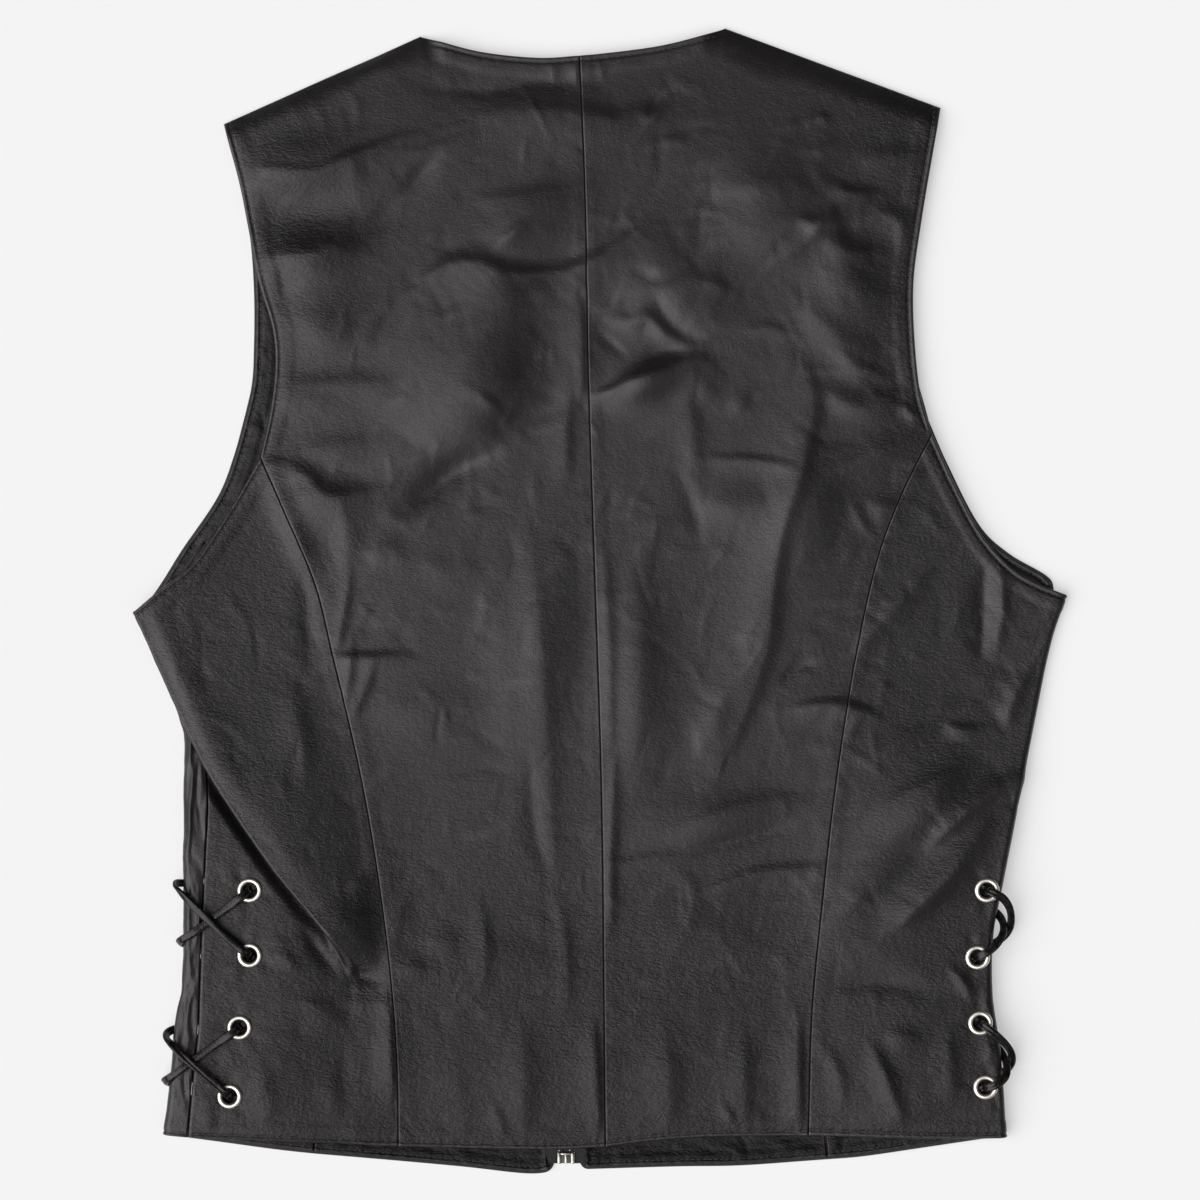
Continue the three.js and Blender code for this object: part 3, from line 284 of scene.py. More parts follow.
lace_finish = lace_leather()
around = np.linspace(0, 2 * np.pi, LACE_SIDES, endpoint=False)
across = np.sign(np.cos(around)) * np.abs(np.cos(around)) ** 0.8 * LACE_WIDTH / 2
up = np.sign(np.sin(around)) * np.abs(np.sin(around)) ** 0.7 * LACE_THICKNESS / 2
crease = np.exp(-(((across - 0.5) / 0.5) ** 2))
up = np.where(up > 0, up - 0.55 * crease, up)
for name, route in lace_routes.items():
    centre = curve_through(route, np.linspace(0, 1, LACE_RINGS))
    heading = unit(np.gradient(centre, axis=0))
    side = unit(np.cross(heading[0], (0, 0, 1.0)))
    rings = []
    for i in range(LACE_RINGS):
        flat = np.cross(heading[i], (0, 0, 1.0))
        flat *= np.sign(flat @ side) or 1
        side = unit(side - heading[i] * (side @ heading[i]) + 0.12 * flat)
        over = np.cross(side, heading[i])
        over *= 1 if i == 0 or over @ last_over > 0 else -1
        last_over = over
        narrow = 1 - 0.12 * math.sin(i * 0.11) ** 2
        rings.append(centre[i] + narrow * across[:, None] * side + up[:, None] * over)
    rings = np.concatenate(rings)
    rings[:, 2] = np.maximum(rings[:, 2], 0.0)
    # Painted highlight: paler colour along both edges of the lace's top face only.
    rub = np.tile(np.exp(-((np.abs(across) - LACE_WIDTH * 0.36) ** 2)) * (up > 0), LACE_RINGS)
    faces = tube_faces(LACE_RINGS, LACE_SIDES)
    lace = piece(name + "_strip", rings, faces, lace_finish, stands_for=[name],
                 values={"rub": rub})
    tuple(centre[0] * MM)
    [tuple(point * MM) for point in centre[::6]]


# Fronts: two panels of black leather on which the vest lies, cut with a V neck and with their edges a
# little apart for the zip. Their edges are turned in and topstitched.
LEATHER = 1.2
BACK_HEIGHT = 6.2
CENTRE_RISE = 3.0
FRONT_LIFT = 4.6
BACK_LIFT = 5.6
ZIP_LIFT = 3.2
ZIP_X = -18.4
SLIDER_Y = 127
ZIP_TOP = 135
SEAM_GAP = 0.3
SHOULDER_SEAM_INSIDE = 11.1
ARMHOLE_ROWS = 8
SEAM_ROWS = 18
ARMHOLE_SHARE = ARMHOLE_ROWS / (ARMHOLE_ROWS + SEAM_ROWS)
FRONT_STEP = 3.9  # from one of a front's points to the next
TOPSTITCH = 2.7
lip = np.array([0, 0.22, 0.5, 0.9, 1.4, 2.0, TOPSTITCH, 3.4, 4.3, 5.6, 7.2])
stitch_line = int(np.argmax(lip == TOPSTITCH))

centre_seam = [(-11, 294.4), (-8, 221), (-6, 117), (-2.3, 0), (0.8, -100), (3, -295.7)]
left = {
    "name": "left",
    "hem_corner": 5.2,
    "neckline": [(-11, 294.4), (-32.4, 293.2), (-64.8, 296.5), (-86.4, 302)],
    "neck_point": (-97.2, 305.6),
    "shoulder_tip": (-204.1, 258.1),
    "armhole": [(-194.9, 224.6), (-190, 200), (-184.5, 172), (-177, 146), (-175.5, 128), (-177.7, 105),
                (-183.6, 77.2)],
    "lower_armhole": [(-183.6, 77.2), (-199.8, 49.1), (-220.9, 18.4), (-237.1, 5.9)],
    "princess": [(-183.6, 77.2), (-171.2, 49.1), (-154.4, 9.7), (-144.2, -31), (-129.6, -93),
                 (-120.4, -145), (-113.6, -198), (-109.6, -248), (-109, -295.4)],
    "hem": [(3, -295.7), (-27, -297), (-109, -295.4)],
    "front_neckline": [(-74, 243), (-49, 184), (-24.8, ZIP_TOP)],
    "front_armhole": [(-194.4, 222), (-189.5, 196), (-187.4, 167), (-187.4, 138), (-188.5, 117),
                      (-192, 101)],
    "front_lower_armhole": [(-192, 101), (-198.2, 78.3), (-206.3, 57.2), (-226.8, 26.5), (-238, 8.5)],
    "front_princess": [(-192, 101), (-181, 52), (-169, -10), (-160, -110), (-155, -299.5)],
    "front_hem": [(-24.8, -309.2), (-36, -310.6), (-75.6, -306.7), (-155, -299.5)],
}
right = {
    "name": "right",
    "hem_corner": 4.6,
    "neckline": [(-11, 294.4), (0, 295.4), (32.4, 299.7), (54, 305)],
    "neck_point": (67.5, 310),
    "shoulder_tip": (184.7, 266.8),
    "armhole": [(179.3, 237.6), (173.9, 205.2), (169.6, 172.8), (170.1, 140.4), (173.9, 108),
                (179.5, 90)],
    "lower_armhole": [(179.5, 90), (193.3, 59.4), (207.4, 34), (224.1, 16.2), (238.7, 8.1)],
    "princess": [(179.5, 90), (163.1, 57.2), (150.7, 24.3), (138.2, -31), (126.9, -103), (119.9, -165),
                 (114.5, -223), (112.6, -289.6)],
    "hem": [(3, -295.7), (21.6, -293.2), (54, -290.5), (112.6, -289.6)],
    "front_neckline": [(50, 250), (20, 188), (-10.8, ZIP_TOP)],
    "front_armhole": [(177, 238), (171, 205), (167, 168), (168.5, 135), (178, 97)],
    "front_lower_armhole": [(178, 97), (188, 74), (207.4, 37.8), (221.9, 24.8), (244.1, 11)],
    "front_princess": [(178, 97), (160, 52), (146, -10), (132, -110), (123, -302.8)],
    "front_hem": [(-10.8, -308.3), (43.2, -306.7), (75.6, -306.2), (123, -302.8)],
}
left_side_columns = ["at", "foldX", "foldY", "turn", "run", "dip", "seamX", "seamY", "rollX", "rollY"]
left_side = [
    [0.0, -252.7, -6.5, 180, 12, 0.5, -244.0, -2.5, -250.0, -5.5],
    [0.12, -240.0, -35, 180, 16, 1.4, -229, -38, -236.8, -40],
    [0.24, -228.1, -61, 180, 17, 2.6, -217, -70, -226, -70],
    [0.36, -213.7, -91, 180, 12, 3.4, -212, -103, -225.2, -103],
    [0.48, -195.2, -120, 180, 10, 3.6, -213, -137, -225.2, -137],
    [0.58, -175, -148.5, 180, 7, 2.4, -214.5, -166, -225.2, -166],
    [0.66, -158, -169, 95, 1.5, 1.4, -215.5, -192, -225.2, -192],
    [0.72, -144, -185, 14, 0.6, 0.8, -216.3, -213, -226.3, -213],
    [0.78, -134, -197, 0, 0.6, 0.3, -217, -232, -230, -232],
    [0.84, -130, -212, 0, 1, 0, -219, -250, -231.4, -250],
    [1.0, -134, -294, 0, 1, 0, -222.8, -290.3, -236, -289],
]
right_edge = [(252.7, 2.7), (244.6, -21.6), (235.4, -64.8), (226.8, -108), (217.1, -156.6),
              (212.6, -180), (212.2, -214), (216.3, -243.5), (219.8, -290.5)]
left_side_hem = [(-109, -295.4), (-121, -294.9)]
right_side_hem = [(112.6, -289.6), (189, -291.1)]
left_front_side_hem = [(-155, -299.5), (-172.8, -297.5), (-207.9, -292.7)]
right_front_side_hem = [(123, -302.8), (140.4, -301.3), (172.8, -296.5)]


def smooth(value):
    value = np.clip(value, 0, 1)
    return value * value * (3 - 2 * value)


def lace_zone(x, y):
    """1 beside the laces at either edge and 0 away from them."""
    across = np.where(x < 0, smooth((-x - 92) / 90), smooth((x - 90) / 84))
    return across * smooth((-30 - y) / 118) * (1 - 0.5 * smooth((-262 - y) / 44))


def front_height(x, y):
    near_slider = np.exp(-(((x - ZIP_X) / 26) ** 2) - ((y - SLIDER_Y) / 34) ** 2)
    return FRONT_LIFT * lace_zone(x, y) + ZIP_LIFT * near_slider


class Border:
    """One side of a panel: curves through outline points, each over its own number of places."""

    def __init__(self, *curves):
        places, points = [], []
        total = sum(count for _, count in curves)
        reached = 0
        for outline, count in curves:
            shares = np.linspace(0, 1, 30 * count + 1)
            places.append((reached + shares * count) / total)
            points.append(curve_through(outline, shares))
            reached += count
        self.places = np.concatenate(places)
        self.points = np.concatenate(points)

    def at(self, share):
        return np.stack([np.interp(share, self.places, self.points[:, axis]) for axis in (0, 1)], -1)


def spread(length, pieces, corner=None):
    """Shares along lengths, close together near both edges, and with one of them on the corner's share."""
    length = np.asarray(length, float)[..., None]
    near = lip / length
    margin = near[..., -1:]
    if corner is None:
        middle = np.linspace(0, 1, pieces + 1)[1:-1]
    else:
        first_margin = float(margin.reshape(-1)[0])
        turn = (corner - first_margin) / (1 - 2 * first_margin)
        before = max(2, round(pieces * turn))
        middle = np.concatenate([np.linspace(0, turn, before + 1)[1:],
                                 np.linspace(turn, 1, pieces - before + 1)[1:-1]])
    return np.concatenate([near, margin + middle * (1 - 2 * margin), 1 - near[..., ::-1]], -1)


class Panel:
    """A flat grid of points between four borders: first and last are its rows at the ends, start and end
    its columns. It keeps how far each point is from each border, in millimetres."""

    def __init__(self, first, last, start, end, step, row_corner=None, column_corner=None):
        height = np.linalg.norm(last.at(0.5) - first.at(0.5))
        self.down = spread(height, round(height / step), row_corner)
        v = self.down[:, None]
        widths = np.linalg.norm(end.at(self.down) - start.at(self.down), axis=-1)
        self.across = spread(widths, round(widths.max() / step), column_corner)
        u = self.across
        self.to_start = u * widths[:, None]
        self.to_end = (1 - u) * widths[:, None]
        self.to_first = v * height + 0 * u
        self.to_last = (1 - v) * height + 0 * u
        u, v = u[..., None], v[..., None]
        corners = ((1 - u) * (1 - v) * start.at(0) + u * (1 - v) * end.at(0)
                   + (1 - u) * v * start.at(1) + u * v * end.at(1))
        flat = ((1 - v) * first.at(self.across) + v * last.at(self.across)
                + (1 - u) * start.at(self.down)[:, None] + u * end.at(self.down)[:, None] - corners)
        self.x, self.y = flat[..., 0], flat[..., 1]
        self.edges = np.zeros(self.x.shape)
        self.rub = np.zeros(self.x.shape)

    def turned_in(self, distance, along, where=1.0):
        """An edge turned in and topstitched: rounded, thicker over its allowance, drawn in at the thread,
        paler with wear at its rim and darkened with painted shade along the thread.
        """
        self.shape(turned_edge(distance, along), where)

    def seamed(self, distance, along, where=1.0):
        """An edge sewn to another panel's: rounded, and a little thicker over its allowance."""
        self.shape(seam_edge(distance, along), where)

    def shape(self, edge, where):
        relief, rub = edge
        self.edges += where * relief
        self.rub += where * rub

    def lift(self, height, relief=0.0, relief_inside=0.0):
        """The panel as a grid for cloth(), at the heights of a function of x and y."""
        points = np.stack([self.x, self.y, height(self.x, self.y)], -1)
        return {"points": points, "relief": relief + self.edges, "inside": relief_inside, "rub": self.rub}


def rounded(distance, radius):
    """How far a rounded edge has dropped at a distance inside it."""
    inside = np.clip(1 - distance / radius, 0, 1)
    return radius * (1 - np.sqrt(1 - inside ** 2))


def turned_edge(distance, along):
    thread = np.exp(-(((distance - TOPSTITCH) / 0.7) ** 2))
    pulled = np.sin(along * 1.15 + 1.7 * np.sin(along * 0.19)) * np.exp(-(((distance - 3.4) / 2.2) ** 2))
    allowance = 0.35 * (1 - smooth((distance - 8.5) / 3))
    relief = allowance - rounded(distance, 1.0) - 0.42 * thread + 0.07 * pulled
    rim = np.exp(-(((distance - 0.9) / 0.7) ** 2)) * (1.0 + 0.35 * np.sin(along * 0.9))
    # The rim is paler with wear; along the thread the colour is darkened as painted shade.
    return relief, rim - 0.9 * thread


def seam_edge(distance, along):
    allowance = 0.2 * (1 - smooth((distance - 4) / 6)) * (0.7 + 0.3 * np.sin(along * 0.07 + 1))
    pulled = np.sin(along * 0.8 + 2.1 * np.sin(along * 0.13)) * np.exp(-distance / 2.5)
    relief = allowance - rounded(distance, 0.75) + 0.09 * pulled
    return relief, 0.8 * np.exp(-(((distance - 0.7) / 0.45) ** 2))


def pebbled(x, y):
    """How coarse the leather's pebbles are: less so in the middle and at the top of the back."""
    base = 0.4 + 0.25 * smooth((140 - y) / 120)
    return base + (1 - base) * np.maximum(smooth((np.abs(x) - 95) / 90), smooth((-70 - y) / 130))


dull_patches = [  # x, y, reach, amount
    [-120, 190, 110, 0.45],
    [115, 190, 100, -0.4],
    [110, 20, 110, -0.5],
    [-130, -260, 110, 1.0],
    [0, -250, 110, 0.8],
    [130, -250, 110, 0.9],
    [225, -90, 70, -0.5],
]


def dulled(x, y):
    """How much duller than elsewhere the leather's finish is, in broad soft patches."""
    amount = np.zeros(x.shape)
    for at_x, at_y, reach, patch in dull_patches:
        amount += patch * np.exp(-((x - at_x) ** 2 + (y - at_y) ** 2) / reach ** 2)
    return amount


def cloth(name, grids, thickness, finish, stands_for, faces_up=True):
    """A closed shell of leather from grids of points on its outer side, which may share points. Each grid
    has its points, the relief of the outer and inner sides, how worn they are and where painted shade
    darkens them, and may have a mask of the quads that it keeps. The object and the grids' finished outer
    points come back."""
    for grid in grids:
        shape = grid["points"].shape[:2]
        for key in ("relief", "inside", "rub", "smooth"):
            grid[key] = np.broadcast_to(np.asarray(grid.get(key, 0.0), float), shape)
    gather = lambda key, width: np.concatenate([grid[key].reshape(-1, width) for grid in grids])
    corners = gather("points", 3)
    _, kept, places = np.unique(np.round(corners, 3), axis=0, return_index=True, return_inverse=True)
    places = places.reshape(-1)
    base = corners[kept]
    quads, indices, reached = [], [], 0
    for grid in grids:
        rows, columns = grid["points"].shape[:2]
        index = places[reached:reached + rows * columns].reshape(rows, columns)
        reached += rows * columns
        quad = np.stack([index[:-1, :-1], index[:-1, 1:], index[1:, 1:], index[1:, :-1]], -1)
        quads.append(quad[grid["keep"]] if "keep" in grid else quad.reshape(-1, 4))
        indices.append(index)
    quads = np.concatenate(quads)
    normal = np.cross(base[quads[:, 2]] - base[quads[:, 0]], base[quads[:, 3]] - base[quads[:, 1]])
    if (normal[:len(quads) // 3, 2].sum() > 0) != faces_up:
        quads = quads[:, ::-1]
        normal = -normal
    normals = np.zeros(base.shape)
    for corner in range(4):
        np.add.at(normals, quads[:, corner], normal)
    normals = unit(normals)
    outer = base + normals * gather("relief", 1)[kept]
    inner = base + normals * (gather("inside", 1)[kept] - thickness)
    for side in (outer, inner):
        side[:, 2] = np.maximum(side[:, 2], 0.0)

    count = len(base)
    edges = np.concatenate([quads[:, [k, (k + 1) % 4]] for k in range(4)])
    keys = edges.min(1) * count + edges.max(1)
    _, first, times = np.unique(keys, return_index=True, return_counts=True)
    start, end = edges[first[times == 1]].T
    rim = np.stack([end, start, start + count, end + count], -1)
    faces = np.concatenate([quads, quads[:, ::-1] + count, rim])
    used = np.unique(faces)
    number = np.full(2 * count, -1)
    number[used] = np.arange(len(used))
    points = np.concatenate([outer, inner])[used]
    rub = np.concatenate([gather("rub", 1)[kept, 0], np.zeros(count)])[used]
    inside = np.concatenate([np.zeros(count), np.ones(count)])[used]
    evenness = np.tile(gather("smooth", 1)[kept, 0], 2)[used]
    pebbles = pebbled(points[:, 0], points[:, 1]) * (1 - evenness)
    obj = piece(name, points, number[faces], finish, stands_for=stands_for,
                values={"rub": rub, "inside": inside, "pebbled": pebbles,
                        "dull": dulled(points[:, 0], points[:, 1]), "smooth": evenness})
    return obj, [outer[index] for index in indices]


def wrinkles(x, y, seed, count, heights=(0.06, 0.27), lengths=(8, 26), widths=(1.5, 3.6), upright=0.35,
             spread=0.6):
    """Many short soft ridges and troughs, scattered over the box of the points, some of them upright."""
    random = np.random.default_rng(seed)
    relief = np.zeros(x.shape)
    left, right, low, high = x.min(), x.max(), y.min(), y.max()
    for _ in range(count):
        at_x, at_y = random.uniform(left, right), random.uniform(low, high)
        angle = random.normal(0, spread) + (np.pi / 2 if random.random() < upright else 0)
        length, width = random.uniform(*lengths), random.uniform(*widths)
        height = random.uniform(*heights) * random.choice((1, -1))
        near = (np.abs(x - at_x) < length) & (np.abs(y - at_y) < length)
        dx, dy = x[near] - at_x, y[near] - at_y
        bend = random.uniform(-0.02, 0.02)
        along = dx * np.cos(angle) + dy * np.sin(angle)
        off = dy * np.cos(angle) - dx * np.sin(angle) - bend * along ** 2
        relief[near] += height * np.exp(-((along / length * 2) ** 2) - (off / width) ** 2)
    return relief


LEATHER_DARK = (0.0045, 0.004, 0.004, 1)
LEATHER_PALE = (0.022, 0.0205, 0.0202, 1)
SUEDE = (0.02, 0.019, 0.019, 1)
GRAIN_DEPTH = 0.00026


def garment_leather(name, dark=LEATHER_DARK, pale=LEATHER_PALE, grain_depth=GRAIN_DEPTH, shine=0.3):
    """Black leather: pebbled, finer and flatter in some places than in others, paler where it is worn, and
    darkened with painted shade along the grooves of its topstitching.
    """
    look = Finish(name)
    rub = look.attribute("rub")
    inside = look.attribute("inside")
    coarse = look.attribute("pebbled")
    dull = look.attribute("dull")
    sleek = look.attribute("smooth")
    stirred = look.stirred(look.places, 260, 0.0035)
    pebbles = look.cells(look.stretched(stirred, (0.65, 1.4, 1.0)), 620)
    fine = look.noise(look.places, 1500, 3, 0.6)
    soft = look.noise(look.places, 120, 3, 0.55)
    broad = look.noise(look.places, 14, 3, 0.6)
    height = 0.8 * (1 - pebbles) * coarse + 0.9 * fine + 1.5 * soft
    shade = 0.5 * broad + 0.25 * fine + 0.5 * (1 - coarse)
    # Paler where worn at rims and seams; below zero along the topstitching, where it darkens the colour as
    # painted shade.
    outer = look.mixed(dark, pale, 0.55 * shade + 0.6 * rub)
    colour = look.mixed(outer, SUEDE, inside)
    roughness = 0.37 - 0.05 * rub - 0.04 * coarse - 0.14 * sleek + 0.08 * (broad - 0.5) + 0.3 * inside
    coat = 0.24 - 0.24 * dull + 0.22 * rub
    return look.surface(colour, roughness, height, grain_depth, Specular_IOR_Level=shine, Coat_Weight=coat,
                        Coat_Roughness=0.34)


front_finish = garment_leather("front_leather")
stitch_paths = []
front_borders = {}


def shoulder_line(side, inside):
    """The back's neck point and shoulder tip, moved in from the vest's outline."""
    neck, tip = np.array(side["neck_point"], float), np.array(side["shoulder_tip"], float)
    line = unit(tip - neck)
    outward = np.array([-line[1], line[0]]) * np.sign(line[0])
    return neck - outward * inside, tip - outward * inside, outward


def hem_corner(panel, side):
    """Rounds the front's corner where its hem meets the zip."""
    from_edge = np.abs(panel.x - side["front_hem"][0][0])
    panel.y += rounded(from_edge, side["hem_corner"]) * smooth((24 - panel.to_last) / 20)


for side in (left, right):
    neck, tip, outward = shoulder_line(side, SHOULDER_SEAM_INSIDE)
    seam = Border(((neck, tip), 6))
    inner = Border(((seam.at(0), *side["front_neckline"]), ARMHOLE_ROWS),
                   ((side["front_neckline"][-1], side["front_hem"][0]), SEAM_ROWS))
    outer = Border(((seam.at(1), *side["front_armhole"]), ARMHOLE_ROWS), (side["front_princess"], SEAM_ROWS))
    front_borders[side["name"]] = (seam, inner, outer)
    panel = Panel(seam, Border((side["front_hem"], 6)), inner, outer, FRONT_STEP, ARMHOLE_SHARE)
    hem_corner(panel, side)
    above_seam = panel.down[:, None] < ARMHOLE_SHARE
    panel.turned_in(panel.to_start, panel.to_first)
    panel.turned_in(panel.to_last, panel.to_start)
    panel.turned_in(panel.to_end, panel.to_first, above_seam)
    panel.seamed(panel.to_end, panel.to_first, ~above_seam)
    panel.seamed(panel.to_first, panel.to_start)
    relief = np.minimum(wrinkles(panel.x, panel.y, 31, 90), 0)
    grid = panel.lift(front_height, relief)
    grid["relief"] = np.minimum(grid["relief"], 0.0)
    front, (points,) = cloth("front_" + side["name"] + "_leather", [grid], LEATHER, front_finish,
                             ["front_" + side["name"]], faces_up=False)
    stitch_paths += [points[:, stitch_line], points[-1 - stitch_line]]


# Side fronts: the left one rolls up round the vest's edge to the side seam on top, the right one lies flat
# to the side seam underneath. Each has four eyelet holes for the laces.
ROLL_STEPS = 14
SIDE_FRONT_STEP = 3.2
SIDE_SEAM_LENGTH = 290
HOLE = 5.2
FRONT_LAYER = (-1, 7)  # the heights between which the side fronts' eyelets go through leather
eyelets = [
    {"side": "left", "back": (-189, -156.6), "front": (-215.5, -154.4)},
    {"side": "left", "back": (-189, -191.7), "front": (-214.4, -190.1)},
    {"side": "left", "back": (-194.4, -230.6), "front": (-220.5, -232)},
    {"side": "left", "back": (-199.8, -267.8), "front": (-222.5, -264)},
    {"side": "right", "back": (208.8, -156.6), "front": (180, -156)},
    {"side": "right", "back": (203.7, -192.8), "front": (180, -192)},
    {"side": "right", "back": (205.2, -228.2), "front": (182, -228)},
    {"side": "right", "back": (208, -262.8), "front": (182, -262)},
]


def station(column, shares):
    """A column of the left side's table at shares of the way down, on a smooth curve between its rows."""
    at = np.array([row[0] for row in left_side])
    values = np.array([row[left_side_columns.index(column)] for row in left_side])
    low, high = np.maximum(np.arange(len(at)) - 1, 0), np.minimum(np.arange(len(at)) + 1, len(at) - 1)
    slopes = (values[high] - values[low]) / (at[high] - at[low])
    row = np.clip(np.searchsorted(at, shares) - 1, 0, len(at) - 2)
    length = at[row + 1] - at[row]
    t = (shares - at[row]) / length
    return ((2 * t ** 3 - 3 * t ** 2 + 1) * values[row] + (t ** 3 - 2 * t ** 2 + t) * slopes[row] * length
            + (3 * t ** 2 - 2 * t ** 3) * values[row + 1] + (t ** 3 - t ** 2) * slopes[row + 1] * length)


def station_points(kind, shares):
    """The flat points of a line of the left side's table, such as its fold."""
    return np.stack([station(kind + axis, shares) for axis in "XY"], -1)


def square_to(column, outward):
    """Unit vectors square to a column of flat points, on its left (-1) or right (1)."""
    tangent = unit(np.gradient(column, axis=0))
    return np.stack([-tangent[:, 1], tangent[:, 0]], -1) * (outward * np.sign(-tangent[:, 1:2]))


def half_roll(start, direction, height, steps, tilt=0.0):
    """Columns of a round roll from start points, out along directions and up or down by heights. It goes on
    from a surface that is tilted, in radians, until it lies flat."""
    tilt = np.broadcast_to(tilt, height.shape)[:, None]
    angles = tilt + (np.pi - tilt) * (np.arange(steps) + 1) / steps
    radius = height[:, None] / (1 + np.cos(tilt))
    out = np.abs(radius) * (np.sin(angles) - np.sin(tilt))
    flat = start[:, None, :2] + direction[:, None] * out[..., None]
    z = start[:, None, 2] + radius * (np.cos(tilt) - np.cos(angles))
    return np.concatenate([flat, z[..., None]], -1)


def lower_back_height(x, y):
    return BACK_HEIGHT + BACK_LIFT * lace_zone(x, y)


def raised(flat, height):
    """Flat points, at the heights of a function of x and y."""
    return np.concatenate([flat, height(flat[..., 0], flat[..., 1])[..., None]], -1)


def eyes(side, face):
    """The middles of one side's eyelets, on its back or its front."""
    return [pair[face] for pair in eyelets if pair["side"] == side]


def holes(points, centres, layer):
    """Which quads of a grid lie outside the eyelets' holes, in the layer that the holes go through."""
    low, high = layer
    middle = (points[:-1, :-1] + points[1:, 1:] + points[:-1, 1:] + points[1:, :-1]) / 4
    through = (middle[..., 2] > low) & (middle[..., 2] < high)
    keep = np.ones(middle.shape[:2], bool)
    for x, y in centres:
        keep &= ~(through & (np.hypot(middle[..., 0] - x, middle[..., 1] - y) < HOLE))
    return keep


def dents(x, y, centres):
    """The leather is drawn down and puckered round its eyelets."""
    relief = np.zeros(x.shape)
    for number, (at_x, at_y) in enumerate(centres):
        distance, turn = np.hypot(x - at_x, y - at_y), np.arctan2(y - at_y, x - at_x)
        relief -= 0.5 * np.exp(-((distance / 8.5) ** 2))
        puckers = np.sin(5 * turn + number) + 0.6 * np.sin(8 * turn + 2 * number)
        relief += 0.16 * puckers * np.exp(-(((distance - 10) / 4) ** 2))
    return relief


def widened(grid, extra, extra_relief, extra_rub, extra_inside=0.0):
    """A grid with more columns beyond its end, which keep the relief of its own last column's ends."""
    rows, columns = grid["points"].shape[:2]
    more = extra.shape[1]
    ends = np.repeat(grid["ends"], more, 1)
    grown = {"points": np.concatenate([grid["points"], extra], 1)}
    for key, value in (("relief", extra_relief + ends), ("inside", extra_inside), ("rub", extra_rub)):
        old = np.broadcast_to(grid[key], (rows, columns))
        grown[key] = np.concatenate([old, np.broadcast_to(value, (rows, more))], 1)
    return grown


def over_ends(panel):
    """The relief of the panel's rows near its first and last borders, as one column."""
    return turned_edge(panel.to_last[:, :1], 0)[0] + turned_edge(panel.to_first[:, :1], 0)[0]


def side_seam(columns, down):
    """The relief and the rub of columns of points that end at a side seam."""
    distance = np.linalg.norm(columns[..., :2] - columns[:, -1:, :2], axis=-1)
    return seam_edge(distance, down[:, None] * SIDE_SEAM_LENGTH)


def side_front(side, end_column, last_outline):
    """The flat part of a side front, between the front's princess seam and a column of points."""
    first = Border(((*side["front_lower_armhole"], tuple(end_column.at(0))), 4))
    last = Border(((*last_outline, tuple(end_column.at(1))), 4))
    panel = Panel(first, last, Border((side["front_princess"], SEAM_ROWS)), end_column, SIDE_FRONT_STEP)
    panel.seamed(panel.to_start, panel.to_first)
    panel.turned_in(panel.to_first, panel.to_start)
    panel.turned_in(panel.to_last, panel.to_start)
    return panel


shares = np.linspace(0, 1, 120)


def at_rows(column, down):
    """Flat values, one for each of the shares, at other shares of the way down."""
    return np.stack([np.interp(down, shares, column[:, axis]) for axis in (0, 1)], -1)


left_edge = station_points("roll", shares)
left_out = square_to(left_edge, -1)
left_radius = (lower_back_height(*left_edge.T) - front_height(*left_edge.T)) / 2
left_roll_start = left_edge - left_out * left_radius[:, None]
left_start_border = Border((left_roll_start, SEAM_ROWS))
panel = side_front(left, left_start_border, left_front_side_hem)
flat = panel.lift(front_height)
flat["relief"] = np.minimum(flat["relief"], 0)
flat["ends"] = np.minimum(over_ends(panel), 0.35)
down = panel.down
out = at_rows(left_out, down)
start = flat["points"][:, -1]
roll = half_roll(start, out, lower_back_height(start[:, 0], start[:, 1]) - start[:, 2], ROLL_STEPS)
seam = station_points("seam", down)
seam_gap = unit(roll[:, -1, :2] - seam) * SEAM_GAP / 2
upper_shares = np.concatenate([np.linspace(0, 0.84, 13)[1:], [0.9, 0.95, 0.98, 1.0]])
upper = roll[:, -1:, :2] + (seam + seam_gap - roll[:, -1, :2])[:, None] * upper_shares[:, None]
upper = raised(upper, lower_back_height)
seam_relief, seam_rub = side_seam(upper, down)
rolled = np.concatenate([roll, upper], 1)
streaks = wrinkles(rolled[..., 0], rolled[..., 1], 21, 150, (0.25, 0.8), (18, 60), (0.8, 1.7), 1, 0.07)
growing = np.concatenate([np.linspace(0, 1, ROLL_STEPS), np.ones(len(upper_shares))])
relief = streaks * growing + np.concatenate([np.zeros((len(down), ROLL_STEPS)), seam_relief], 1)
rub = np.concatenate([np.zeros((len(down), ROLL_STEPS)) + 0.15, seam_rub], 1)
grid = widened(flat, rolled, relief, rub)
past_flat = np.arange(grid["points"].shape[1]) - flat["points"].shape[1]
grid["smooth"] = np.broadcast_to(smooth(past_flat), grid["relief"].shape)
grid["keep"] = holes(grid["points"], eyes("left", "front"), FRONT_LAYER)
side_front_left, _ = cloth("side_front_left_leather", [grid], LEATHER, front_finish,
                           ["side_front_left"], faces_up=False)

edge = Border((right_edge, SEAM_ROWS)).at(shares)
right_out = square_to(edge, 1)
inside_edge = edge - right_out * BACK_HEIGHT / 2
right_radius = (lower_back_height(*inside_edge.T) - front_height(*inside_edge.T)) / 2
right_roll_start = edge - right_out * right_radius[:, None]
side_under = 4 + 6 * smooth(shares / 0.15)
right_seam = right_roll_start - right_out * side_under[:, None]
right_end_border = Border((right_seam - right_out * SEAM_GAP / 2, SEAM_ROWS))
panel = side_front(right, right_end_border, right_front_side_hem)
panel.seamed(panel.to_end, panel.to_first)
grid = panel.lift(front_height)
grid["relief"] = np.minimum(grid["relief"], 0)
grid["keep"] = holes(grid["points"], eyes("right", "front"), FRONT_LAYER)
side_front_right, _ = cloth("side_front_right_leather", [grid], LEATHER, front_finish,
                            ["side_front_right"], faces_up=False)


